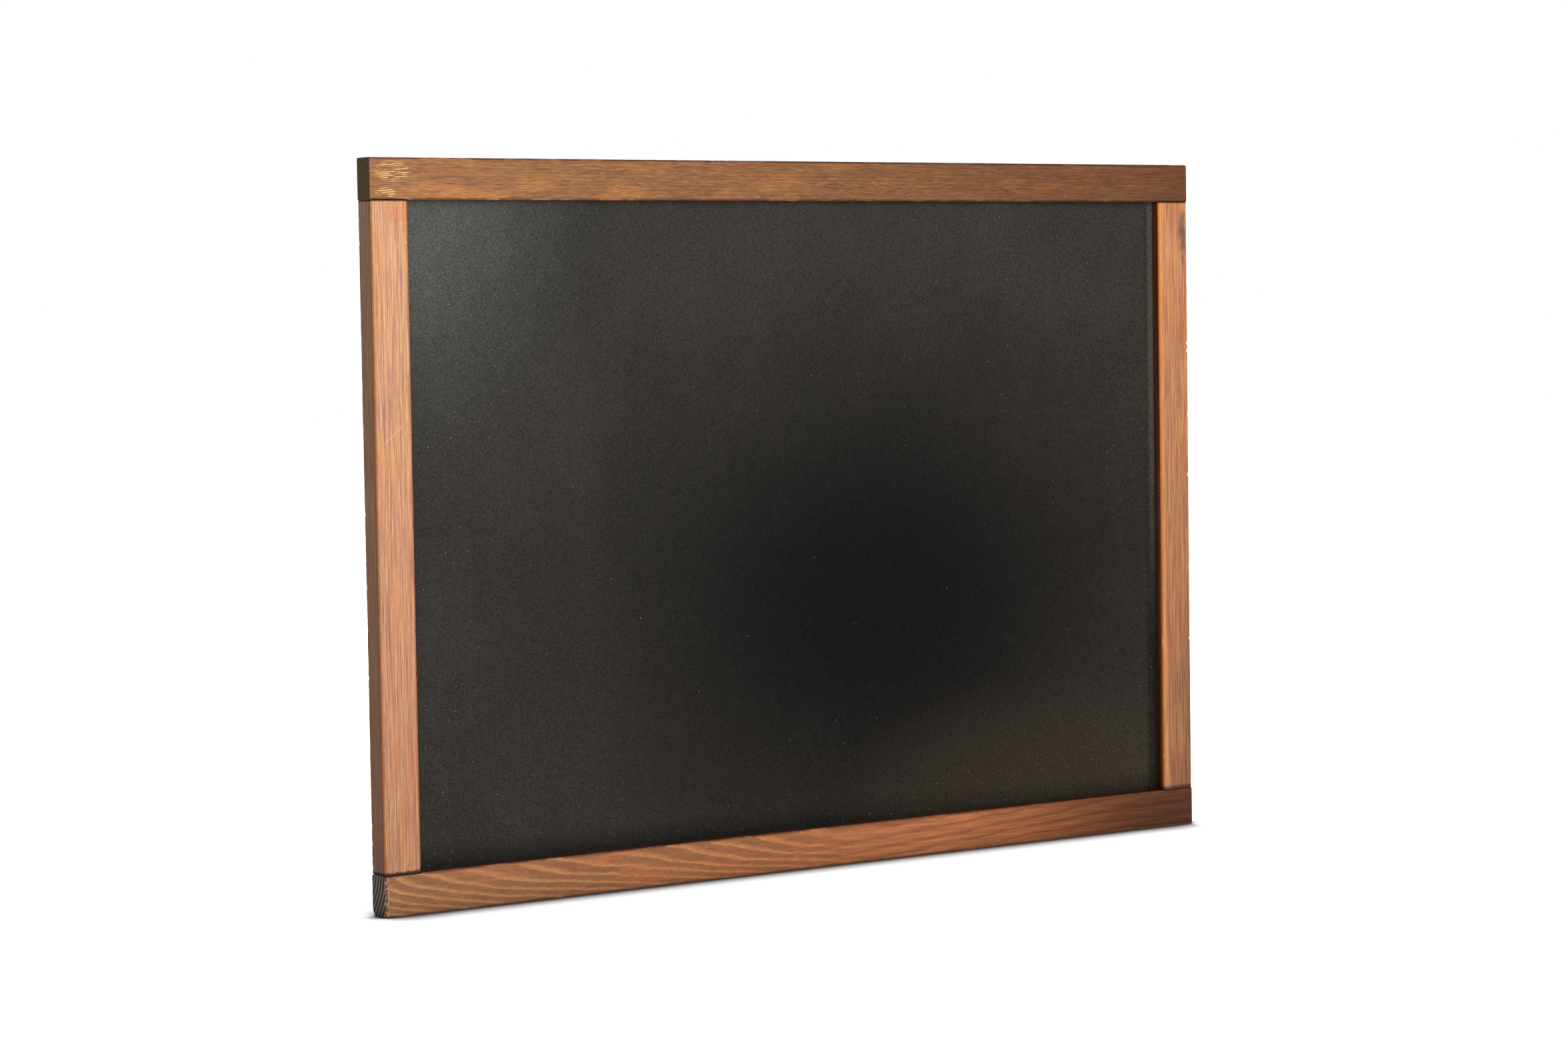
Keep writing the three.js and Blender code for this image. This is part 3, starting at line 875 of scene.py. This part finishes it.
# %% Bottom rail
def calm_grain(tree, axes, tone, streaks):
    calm = blend_colour(tree, ramp(tree, streaks, 0.32, 0.68), colour(155, 107, 72), colour(191, 132, 88))
    dark_lines = year_rings(tree, axes, (0.050, -0.440), 3.1 * MM, 9.0 * MM, slope=0.022)
    calm = blend_colour(tree, times(tree, dark_lines, 0.55), calm, colour(114, 71, 45))
    tone = blend_colour(tree, ramp(tree, axes[0], -0.06, 0.08, 0.0, 0.85), tone, calm)
    # Painted shade: darker towards the right end, as the light falls off.
    full_light, right_end_shade = (1.0, 1.0, 1.0, 1.0), (0.22, 0.22, 0.22, 1.0)
    to_the_right = ramp(tree, axes[0], 0.10, 0.34)
    return tinted(tree, tone, blend_colour(tree, to_the_right, full_light, right_end_shade))


def chipped_end(tree, axes, tone, streaks):
    tone = calm_grain(tree, axes, tone, streaks)
    on_front = front_only(tree, axes)
    ragged = times_plus(tree, wood_noise(tree, axes, 200.0, 260.0, 2.0), 3.2 * MM, axes[0])
    chip_edge = left_end + 3.7 * MM
    chip = times(tree, fading(tree, ragged, chip_edge, chip_edge + 0.4 * MM), on_front)
    crumbs = ramp(tree, wood_noise(tree, axes, 900.0, 700.0, 2.0, shift=1.0), 0.48, 0.68)
    bare = blend_colour(tree, crumbs, colour(92, 48, 26), colour(206, 150, 108))
    tone = blend_colour(tree, times(tree, chip, 0.92), tone, bare)

    # The pale rim: splinters with a painted highlight, where the chip's edge catches the light.
    rim = times(tree, ramp(tree, ragged, chip_edge, chip_edge + 0.4 * MM),
                fading(tree, ragged, chip_edge + 0.7 * MM, chip_edge + 1.1 * MM))
    splinter_highlights = ramp(tree, wood_noise(tree, axes, 500.0, 330.0, 2.0, shift=3.0), 0.44, 0.60, 0.0, 0.6)
    return blend_colour(tree, times(tree, rim, splinter_highlights, on_front), tone, colour(212, 184, 160))


pine["bottom_rail"] = stained_pine(
    "bottom_rail", heart=(0.0365, -0.450), spacing=2.2 * MM, wander=5.0 * MM, slope=-0.050,
    swerve=(3.5 * MM, -0.35, 45 * MM),
    tones=(colour(134, 89, 60), colour(186, 130, 84), colour(182, 112, 70)), arris=colour(112, 70, 46),
    sawn=(colour(62, 53, 46), colour(140, 124, 110)), sawn_spacing=3.5 * MM,
    painted_falloff=((0.93, 0.95, 0.96, 1.0), (1.04, 0.68, 0.45, 1.0)), contrast=0.42, ring_share=0.75,
    fibre_waves=230.0, fibre_depth=0.5, marks=chipped_end,
)

# %% [markdown]
# The left stile's finish
#
# The stiles are a lighter, pinker pine. The left one has orange grain lines, a square of fresher stain under
# its top joint, and a long thin scratch across its front. A groove as thin as this scratch would need a very
# dense mesh, so it is a line in the finish: the points that lie near a slanting straight line.

# %% Left stile
def stile_marks(tree, axes, tone, streaks):
    orange_lines = ramp(tree, wood_noise(tree, axes, 12.0, 430.0, 2.0, shift=6.0), 0.50, 0.64, 0.0, 0.45)
    tone = blend_colour(tree, orange_lines, tone, colour(216, 146, 88))

    joint_height = laths["top_rail"].inner
    under_joint = ramp(tree, axes[0], joint_height - 14.5 * MM, joint_height - 13.8 * MM)
    inner_part = ramp(tree, axes[2], left_end + 11 * MM, left_end + 13 * MM)
    fresh = times(tree, under_joint, inner_part, times(tree, front_only(tree, axes), 0.4))
    tone = blend_colour(tree, fresh, tone, colour(205, 120, 74))

    scratch_rise = 0.85
    scratch_height = 0.118
    from_scratch = apart(tree, times_plus(tree, axes[2], -scratch_rise, axes[0]), scratch_height)
    starts = ramp(tree, axes[2], left_end + 6 * MM, left_end + 8 * MM)
    ends = fading(tree, axes[2], left_end + 19 * MM, left_end + 21 * MM)
    scratch = times(tree, fading(tree, from_scratch, 0.15 * MM, 0.5 * MM), times(tree, starts, ends), 0.5)
    return blend_colour(tree, scratch, tone, colour(245, 205, 175))


pine["left_stile"] = stained_pine(
    "left_stile", heart=(0.034, -0.366), spacing=1.5 * MM, wander=1.6 * MM,
    tones=(colour(183, 130, 102), colour(206, 162, 126), colour(204, 150, 108)), arris=colour(164, 96, 50),
    sawn=(colour(70, 48, 30), colour(130, 96, 66)),
    painted_falloff=((0.76, 0.68, 0.65, 1.0), (1.05, 1.06, 1.04, 1.0)), contrast=0.60, ring_share=0.24, rubbed=0.12,
    flank_stain_and_shade=(0.50, 0.52, 0.54, 1.0), joint=(0.42, 1.6 * MM, 0.92), marks=stile_marks,
)

# %% [markdown]
# The right stile's finish
#
# The right stile's inner front edge was rubbed while the stain was wet, and stayed golden. The strip wobbles
# and widens towards the foot, where the outer side turns darker. Both are ramps over the distance from the
# lath's inner side. A grey smudge sits on the outer side near the top: an oval that noise breaks up.

# %% Right stile
def golden_strip(tree, axes, tone, streaks):
    inner = laths["right_stile"].inner
    wobble = times_plus(tree, wood_noise(tree, axes, 25.0, 25.0, 2.0), 3.0 * MM, axes[2])
    widened = fading(tree, axes[0], -0.45, -0.30, 1.8 * MM)
    by_inner_edge = fading(tree, minus(tree, wobble, widened), inner + 4.2 * MM, inner + 7.2 * MM)
    stronger_above = ramp(tree, axes[0], -0.25, -0.04, 0.7, 0.8)
    in_streaks = ramp(tree, streaks, 0.35, 0.60, 0.55, 1.0)
    strip = times(tree, by_inner_edge, stronger_above, front_only(tree, axes), in_streaks)
    foot_gold, top_gold = colour(268, 178, 102), colour(226, 146, 74)
    golden = blend_colour(tree, ramp(tree, axes[0], -0.40, -0.20), foot_gold, top_gold)
    tone = blend_colour(tree, strip, tone, golden)

    outer_side = ramp(tree, axes[2], inner + 15 * MM, inner + 28 * MM)
    dark_foot = times(tree, outer_side, fading(tree, axes[0], -0.45, -0.15, 0.34))
    tone = blend_colour(tree, dark_foot, tone, colour(96, 58, 38))

    cloudy = ramp(tree, wood_noise(tree, axes, 60.0, 160.0, 2.0, shift=2.0), 0.36, 0.58)
    near_front = fading(tree, axes[1], board_front + 1.0 * MM, board_front + 5.0 * MM)
    on_outer_arris = patch(tree, axes, (-0.040, inner + 28 * MM), (26 * MM, 11 * MM))
    smudge = times(tree, on_outer_arris, cloudy, near_front)
    return blend_colour(tree, times(tree, smudge, 0.75), tone, colour(84, 70, 62))


pine["right_stile"] = stained_pine(
    "right_stile", heart=(0.034, 0.312), spacing=1.4 * MM, wander=1.8 * MM,
    tones=(colour(164, 108, 72), colour(202, 144, 100), colour(190, 120, 72)), arris=colour(196, 116, 60),
    sawn=(colour(70, 48, 30), colour(130, 96, 66)),
    painted_falloff=((0.58, 0.56, 0.56, 1.0), (1.04, 1.01, 0.99, 1.0)), contrast=0.66, ring_share=0.24, rubbed=0.26,
    joint=(0.30, 0.9 * MM, 0.75), marks=golden_strip,
)

# %% [markdown]
# Into the frame
#
# The shapes and the finishes come together here. Each worn and routed lath takes the place of the plain one
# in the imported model, so that the frame can't show two laths in one place.

# %% Fit the four laths
for node, lath in pine_laths.items():
    fit_in(lath, node, "board", pine[node])

# %% [markdown]
# Chalk haze and painted reflections
#
# The black surface is a matt laminate. Its grey haze is partly chalk left by wiping and partly a painted
# reflection of the bright room: it lies everywhere but in a dark patch below the middle, and is brightest
# in the upper left corner. Low on the right a brown patch is a painted reflection of the wooden rail, and
# along the right edge run a pale band and a darker one, a painted reflection of the stile. The haze could be
# a picture on the panel. Here it is a set of soft distances, in metres on the board, so it has no pixels and
# can be wiped again by changing one number.

# %% Haze and painted reflections on the laminate
sight_edge = laths["right_stile"].inner
sill = laths["bottom_rail"].inner


def uneven_wiping(tree, place):
    """Slow clouds, and fainter swipes that run up and down."""
    slow = clouds(tree, place, 9.0, 3.0)
    drawn_out = add(tree, "ShaderNodeMapping", {"Vector": place, "Scale": (1.0, 1.0, 0.35)})
    swipes = clouds(tree, drawn_out.outputs[0], 60.0, 3.0)
    return maths(tree, "ADD", times_plus(tree, slow, 0.5, 0.5), times(tree, minus(tree, swipes, 0.5), 0.25))


def black_with_haze_and_reflection(tree, x, z, uneven):
    # The haze: chalk and a painted reflection of the bright room, dark in a patch below the middle.
    from_dark_patch = maths(tree, "SQRT", squared_distance(tree, x, z, (0.06, -0.300), (0.37, 0.27)))
    outside_it = ramp(tree, from_dark_patch, 0.10, 1.10)
    over_sill = ramp(tree, z, sill, sill + 21 * MM, 0.35, 1.0)
    off_low_left = ramp(tree, times_plus(tree, z, 0.9, x), -0.62, -0.42, 0.92, 1.0)
    haze = times(tree, outside_it, uneven, over_sill, off_low_left)
    # Warmer towards the low right: a painted reflection of the wooden rail.
    to_low_right = times_plus(tree, x, 0.75, times(tree, z, -1.2))
    toward_warm_reflection = ramp(tree, to_low_right, -0.19, 0.77)
    haze_and_sheen_tone = blend_colour(tree, toward_warm_reflection, colour(61, 58, 53), colour(64, 57, 47))
    return blend_colour(tree, haze, colour(3, 2, 1), haze_and_sheen_tone)


def reflections_and_edge_band(tree, x, z, uneven, tone):
    """Painted reflections low right and upper left, and a pale and a darker band along the right edge."""
    # A painted reflection of the wooden rail, brown, low on the right.
    from_brown_reflection = squared_distance(tree, x, z, (0.19, -0.455), (0.19, 0.10))
    tone = blend_colour(tree, fading(tree, from_brown_reflection, 0.0, 1.0, 0.17), tone, colour(88, 68, 48))
    # A painted reflection of the bright room, strongest in the upper left corner.
    from_corner = maths(tree, "SQRT", squared_distance(tree, x, z, (-0.36, 0.0)))
    corner_reflection = times(tree, fading(tree, from_corner, 0.02, 0.21, 0.74), uneven)
    tone = blend_colour(tree, corner_reflection, tone, colour(104, 107, 103))
    # A pale band along the right edge, fading towards the foot.
    pale_edge_band = times(tree, ramp(tree, x, sight_edge - 7 * MM, sight_edge - 2 * MM),
                    ramp(tree, z, -0.40, -0.10, 0.0, 0.62))
    tone = blend_colour(tree, pale_edge_band, tone, colour(104, 101, 92))
    # Beside it a darker band: a painted reflection of the stile's wall.
    stile_wall_reflection = times(tree, ramp(tree, x, sight_edge - 11 * MM, sight_edge - 6 * MM),
                    fading(tree, z, -0.36, -0.26, 0.6))
    return blend_colour(tree, stile_wall_reflection, tone, colour(24, 20, 15))


print("the panel shows", round(2 * sight_edge / MM), "mm between the stiles")

# %% [markdown]
# Dust, tooth and painted glints
#
# Chalk bites on a fine tooth in the laminate, and pale specks of dust sit near the edges. A Voronoi texture
# splits the sheet into cells and draws chances for each one. Large cells carry the dust: a cell keeps a dot
# only where its chance is high. Cells of half a millimetre carry the tooth: each is a little lighter or
# darker, painted glints where the tooth catches the light, which look like fine grit from near and far alike,
# where smooth noise would melt into grey.

# %% Laminate
def cells(tree, place, scale):
    """The distance from each cell's middle, and the chances that were drawn for the cell."""
    made = add(tree, "ShaderNodeTexVoronoi", {"Vector": place, "Scale": scale}, feature="F1",
               voronoi_dimensions="2D")
    return made.outputs["Distance"], add(tree, "ShaderNodeSeparateColor", {0: made.outputs["Color"]}).outputs


def chalk_dust(tree, x, z, sheet_place):
    distance, chances = cells(tree, sheet_place, 170.0)
    dot = fading(tree, distance, 0.024, 0.068)
    near_edge = maths(tree, "MAXIMUM", ramp(tree, apart(tree, x, 0.0), 0.22, 0.32, 0.0, 0.22),
                      fading(tree, z, sill, sill + 38 * MM, 0.30))
    kept = maths(tree, "GREATER_THAN", maths(tree, "ADD", chances[0], near_edge), 0.975)
    return times(tree, dot, kept, maths(tree, "POWER", chances[1], 1.6))


def chalk_surface():
    material, tree, surface = new_finish("chalk_surface")
    place = object_place(tree)
    parts = add(tree, "ShaderNodeSeparateXYZ", {0: place})
    x, z = parts.outputs["X"], parts.outputs["Z"]
    uneven = uneven_wiping(tree, place)
    tone = reflections_and_edge_band(tree, x, z, uneven, black_with_haze_and_reflection(tree, x, z, uneven))

    sheet_place = add(tree, "ShaderNodeCombineXYZ", {0: x, 1: z}).outputs[0]
    dust = chalk_dust(tree, x, z, sheet_place)
    tone = blend_colour(tree, times(tree, dust, 0.9), tone, colour(175, 170, 155))
    # Painted glints: each tooth cell is a little lighter or darker, as the tooth catches the light.
    grit_and_glints = cells(tree, sheet_place, 1800.0)[1][0]
    tone = tinted(tree, tone, grey(tree, times_plus(tree, grit_and_glints, 0.76, 0.41)))
    tone = blend_colour(tree, 1.0, tone, grey(tree, times(tree, grit_and_glints, 0.005)), "ADD")

    tooth = clouds(tree, place, 1500.0, 1.0, 0.6)
    gloss = ramp(tree, tooth, 0.3, 0.7, 0.38, 0.24)
    feed(tree, surface, {
        "Base Color": tone,
        "Specular IOR Level": 0.22,
        "Roughness": maths(tree, "MAXIMUM", gloss, times(tree, dust, 0.8)),
        "Normal": relief(tree, tooth, 0.12 * MM, 0.7),
    })
    print(material.name, "has", len(tree.nodes), "nodes")
    return material


give_finish("chalk_laminate", chalk_surface())

# %% [markdown]
# The back of the panel
#
# Hardboard is pressed from brown wood fibre. Its back has the mesh of the press's screen in it, a small
# regular grid, under a felt of single fibres and darker bundles. The grid is two crossed sine waves in the
# bump. The fibres are noise, squeezed upwards and stirred, so that they lie every way like felt.

# %% Hardboard
def hardboard():
    material, tree, surface = new_finish("pressed_fibre")
    place = object_place(tree)
    squeezed = add(tree, "ShaderNodeMapping", {"Vector": place, "Scale": (1.0, 1.0, 2.6)}).outputs[0]
    fibres = clouds(tree, squeezed, 520.0, 5.0, 0.7, distortion=1.2)
    bundles = clouds(tree, squeezed, 150.0, 3.0, 0.7, distortion=2.0)
    warm_clouds = clouds(tree, place, 14.0, 3.0)
    tone = blend_colour(tree, fibres, colour(66, 41, 24), colour(152, 108, 72))
    tone = blend_colour(tree, ramp(tree, bundles, 0.50, 0.68, 0.0, 0.55), tone, colour(84, 52, 30))
    tone = blend_colour(tree, ramp(tree, warm_clouds, 0.35, 0.7, 0.0, 0.6), tone, colour(128, 82, 48))

    screen_waves = 3600.0
    parts = add(tree, "ShaderNodeSeparateXYZ", {0: place})
    weave = [maths(tree, "SINE", times(tree, parts.outputs[name], screen_waves)) for name in "XZ"]
    height = times_plus(tree, times(tree, *weave), 0.35, fibres)
    feed(tree, surface, {
        "Base Color": tone,
        "Roughness": 0.82,
        "Normal": relief(tree, height, 0.2 * MM, 0.6),
    })
    print("the screen's mesh is", round(2 * math.pi / screen_waves / MM, 2), "mm wide")
    return material


give_finish("panel_core", hardboard())

# %% [markdown]
# Dowels
#
# Eight dowels of bare beech hold the butt joints. They are hidden in the glued frame and show only when it is
# taken apart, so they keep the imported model's plain shape and get a finish alone: fine pores along the
# grain, and the short dark rays that tell beech from other pale woods.

# %% Beech
def bare_beech():
    material, tree, surface = new_finish("bare_beech")
    axes = wood_axes(tree, 2)
    fibres = wood_noise(tree, axes, 60.0, 1200.0, 4.0, 0.6)
    rays = ramp(tree, wood_noise(tree, axes, 500.0, 2400.0, 1.0, shift=2.0), 0.62, 0.72)
    tone = blend_colour(tree, fibres, colour(190, 146, 100), colour(232, 198, 154))
    feed(tree, surface, {
        "Base Color": blend_colour(tree, times(tree, rays, 0.5), tone, colour(160, 108, 70)),
        "Roughness": 0.6,
        "Normal": relief(tree, fibres, 0.05 * MM, 0.3),
    })
    return material


beech = bare_beech()
dowels = [node for node in frame["nodes"] if node.startswith("dowel_")]
for dowel in dowels:
    give_finish(dowel, beech)
print("dowels of beech:", len(dowels))

# %% [markdown]
# Metal
#
# The pins are bright drawn wire, and the hangers are zinc-plated. What makes metal look like metal is what it
# mirrors, so its roughness matters more than its colour. Fine scratches roughen it, all one way on the drawn
# pins and the rolled sheet, and clouds show where it has dulled. One recipe serves all four kinds of metal.

# %% Metal and the panel pins
def metal(name, bright, dull, roughness, scale, brushed=(1.0, 1.0, 1.0)):
    material, tree, surface = new_finish(name)
    place = object_place(tree)
    along = add(tree, "ShaderNodeMapping", {"Vector": place, "Scale": brushed}).outputs[0]
    scratches = clouds(tree, along, scale, 4.0, 0.7)
    dulled = ramp(tree, clouds(tree, place, 330.0, 3.0), 0.40, 0.65)
    feed(tree, surface, {
        "Base Color": blend_colour(tree, dulled, bright, dull),
        "Metallic": 1.0,
        "Roughness": times_plus(tree, dulled, 0.12, times_plus(tree, scratches, 0.22, roughness)),
        "Normal": relief(tree, scratches, 0.02 * MM, 0.25),
    })
    return material


drawn_along = (1.0, 1.0, 0.2)
drawn_wire = metal("drawn_wire", colour(168, 168, 164), colour(120, 118, 112), 0.30, 900.0, drawn_along)
pins = [node for node in frame["nodes"] if node.startswith("panel_pin_")]
for pin in pins:
    give_finish(pin, drawn_wire)
print("panel pins of drawn wire:", len(pins))

# %% [markdown]
# Strap hangers
#
# A strap hanger is one strip of sheet steel. Here a flat strip is drawn first and its upper edge is spun
# round the wire of the ring, as the press curls it in the factory. Only then does it get its thickness, by a
# modifier, so the curl and the flat stay one even strip. An extruded outline would do as well, but then every
# change of the sheet would need two outlines.

# %% Strap
hinges = {joint["child"]: joint["pos_m"] for joint in frame["joints"]}
curl_centre, hinge_height = hinges["left_ring"][1:]
sheet = 0.8 * MM
strap_width = 10.0 * MM
curl_turn = math.radians(300.0)


def strap_shape(x):
    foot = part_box("left_hanger_strap")[0][2]
    shape = bmesh.new()
    bmesh.ops.create_grid(shape, x_segments=1, y_segments=1, size=0.5)
    bmesh.ops.scale(shape, vec=(strap_width, hinge_height - foot, 1.0), verts=shape.verts)
    stand_up = Matrix.Rotation(math.pi / 2, 3, "X")
    bmesh.ops.rotate(shape, cent=(0.0, 0.0, 0.0), matrix=stand_up, verts=shape.verts)
    bmesh.ops.translate(shape, vec=(x, sheet / 2, (hinge_height + foot) / 2), verts=shape.verts)
    top = [e for e in shape.edges if all(abs(v.co.z - hinge_height) < same_place for v in e.verts)]
    ends = top + [v for e in top for v in e.verts]
    bmesh.ops.spin(shape, geom=ends, cent=(x, curl_centre, hinge_height), axis=(-1.0, 0.0, 0.0),
                   angle=curl_turn, steps=40)
    return shape


def strap(x, name):
    piece = object_from(strap_shape(x), name + "_curled")
    thick = piece.modifiers.new("sheet", "SOLIDIFY")
    thick.thickness = sheet
    thick.offset = 0.0
    apply_modifiers(piece)
    solid = bmesh.new()
    solid.from_mesh(piece.data)
    foot = min(v.co.z for v in solid.verts)
    corners = [e for e in edges_along(solid, 1) if all(abs(v.co.z - foot) < 1e-5 for v in e.verts)]
    bevel(solid, corners, 4.0 * MM, 8)
    sharp = math.radians(50.0)
    rims = [e for e in solid.edges if len(e.link_faces) == 2 and e.calc_face_angle(0.0) > sharp]
    bevel(solid, rims, 0.12 * MM, 2)
    solid.to_mesh(piece.data)
    solid.free()
    return piece


print("the curl turns", round(math.degrees(curl_turn)), "degrees round a hinge at", hinge_height, "m")

# %% [markdown]
# D-rings
#
# The ring is one length of round wire bent to a D. A curve with a round bevel would be quicker to draw, but
# its two ends and its tight corners are hard to hold. So a disc of the wire's size travels round the D:
# pushed along the straight parts and spun round each bend. Its two ends stop just short of each other inside
# the curl, where the real wire is cut.

# %% Ring
wire_radius = 1.0 * MM
end_gap = 0.2 * MM
bend_radius = 1.4 * MM
ring_half_width = 6.6 * MM
ring_height = 12.2 * MM


def grow(shape, face):
    """Extrudes a face with its rim, so that no wall stays in the wire. Gives the new end and its corners."""
    grown = bmesh.ops.extrude_face_region(shape, geom=[face, *face.edges, *face.verts])["geom"]
    end = [g for g in grown if isinstance(g, bmesh.types.BMFace)][0]
    return end, [g for g in grown if isinstance(g, bmesh.types.BMVert)]


def push(shape, face, way):
    """Pushes the wire's end along a straight part."""
    end, corners = grow(shape, face)
    bmesh.ops.translate(shape, vec=way, verts=corners)
    return end


def sweep(shape, face, centre, degrees, steps):
    """Spins the wire's end round a bend in the upright plane."""
    turn = Matrix.Rotation(math.radians(degrees) / steps, 3, "Y")
    for _ in range(steps):
        face, corners = grow(shape, face)
        bmesh.ops.rotate(shape, cent=centre, matrix=turn, verts=corners)
    return face


def ring_shape(x):
    corner = ring_half_width - bend_radius
    bend_height = hinge_height - bend_radius
    bow_height = hinge_height + ring_half_width - ring_height
    shape = bmesh.new()
    bmesh.ops.create_circle(shape, cap_ends=True, segments=16, radius=wire_radius)
    face_right = Matrix.Rotation(math.pi / 2, 3, "Y")
    bmesh.ops.rotate(shape, cent=(0.0, 0.0, 0.0), matrix=face_right, verts=shape.verts)
    bmesh.ops.translate(shape, vec=(x + end_gap, curl_centre, hinge_height), verts=shape.verts)
    shape.faces.ensure_lookup_table()
    face = push(shape, shape.faces[0], (corner - end_gap, 0.0, 0.0))
    face = sweep(shape, face, (x + corner, curl_centre, bend_height), 90.0, 6)
    face = push(shape, face, (0.0, 0.0, bow_height - bend_height))
    face = sweep(shape, face, (x, curl_centre, bow_height), 180.0, 28)
    face = push(shape, face, (0.0, 0.0, bend_height - bow_height))
    face = sweep(shape, face, (x - corner, curl_centre, bend_height), 90.0, 6)
    push(shape, face, (corner - end_gap, 0.0, 0.0))
    return shape


straights = 2 * (ring_half_width - bend_radius - end_gap) + 2 * (ring_height - ring_half_width - bend_radius)
turns = math.pi * (bend_radius + ring_half_width)
print("a ring takes", round((straights + turns) / MM, 1), "mm of wire")

# %% [markdown]
# Screws
#
# A turned profile, spun round its axis, gives the pan head and the shank in one go, as the header and the
# lathe do. The cross recess is cut with two crossed bars, one after the other: a boolean cutter that crosses
# itself can leave nothing behind. The thread is inside the stile, so it isn't modelled.

# %% Screw
def screw_shape(x, z):
    """The screw lies along Y: its head on the strap, towards the wall, and its point in the stile.

    The profile holds (radius, height) in mm, from the top of the head down to the point.
    """
    crown = [(0.0, 2.7), (1.2, 2.62), (2.1, 2.25), (2.62, 1.75), (2.8, 1.35)]
    under_head = [(2.8, 0.8), (1.5, 0.8)]
    shank = [(1.5, -8.2), (0.05, -11.2)]
    shape = bmesh.new()
    rim = [bmesh.ops.create_vert(shape, co=(x + radius * MM, height * MM, z))["vert"][0]
           for radius, height in crown + under_head + shank]
    line = [shape.edges.new(pair) for pair in zip(rim, rim[1:])]
    bmesh.ops.spin(shape, geom=rim + line, cent=(x, 0.0, z), axis=(0.0, 1.0, 0.0), angle=2 * math.pi,
                   steps=32, use_merge=True)
    bmesh.ops.remove_doubles(shape, verts=shape.verts, dist=same_place)
    bmesh.ops.holes_fill(shape, edges=shape.edges)
    return shape


def recess_bar(x, z, turn):
    """One of the two crossed bars that leave the cross recess in a head."""
    size = Vector((3.4 * MM, 2.2 * MM, 0.8 * MM))
    shape = box_shape(-size / 2, size / 2)
    bmesh.ops.rotate(shape, cent=(0.0, 0.0, 0.0), matrix=Matrix.Rotation(turn, 3, "Y"), verts=shape.verts)
    bmesh.ops.translate(shape, vec=(x, 2.7 * MM, z), verts=shape.verts)
    return shape


def screw(x, z, turn, name):
    piece = object_from(screw_shape(x, z), name)
    carve(piece, recess_bar(x, z, turn))
    carve(piece, recess_bar(x, z, turn + math.pi / 2))
    return piece


first_screw_drop = 17.0 * MM
screw_pitch = 9.0 * MM
print("the lower screw sits", (first_screw_drop + screw_pitch) / MM, "mm below the hinge")

# %% [markdown]
# Two hangers
#
# Each stile carries one strap, one ring and two screws. The strap and the screws ride with the board, and the
# ring rides on its own body, so that it can swing. No fitter stops every screw at the same angle, so each
# recess is turned further than the last.

# %% Fit the hangers
rolled_along = (1.0, 1.0, 0.12)
plated_sheet = metal("plated_sheet", colour(206, 208, 204), colour(168, 166, 154), 0.24, 700.0, rolled_along)
plated_wire = metal("plated_wire", colour(210, 210, 206), colour(176, 172, 160), 0.20, 800.0)
plated_screw = metal("plated_screw", colour(208, 206, 196), colour(170, 162, 140), 0.26, 900.0)
for side, name in ((-1, "left"), (1, "right")):
    x = hinges[name + "_ring"][0]
    fit_in(strap(x, name + "_hanger_strap"), name + "_hanger_strap", "board", plated_sheet)
    ring = object_from(ring_shape(x), name + "_ring_of_wire")
    fit_in(ring, name + "_d_ring", name + "_ring", plated_wire)
    for number in (1, 2):
        z = hinge_height - first_screw_drop - (number - 1) * screw_pitch
        turn = math.radians(25.0 * number + 40.0 * side)
        pan_head = screw(x, z, turn, f"{name}_pan_head_{number}")
        fit_in(pan_head, f"{name}_hanger_screw_{number}", "board", plated_screw)
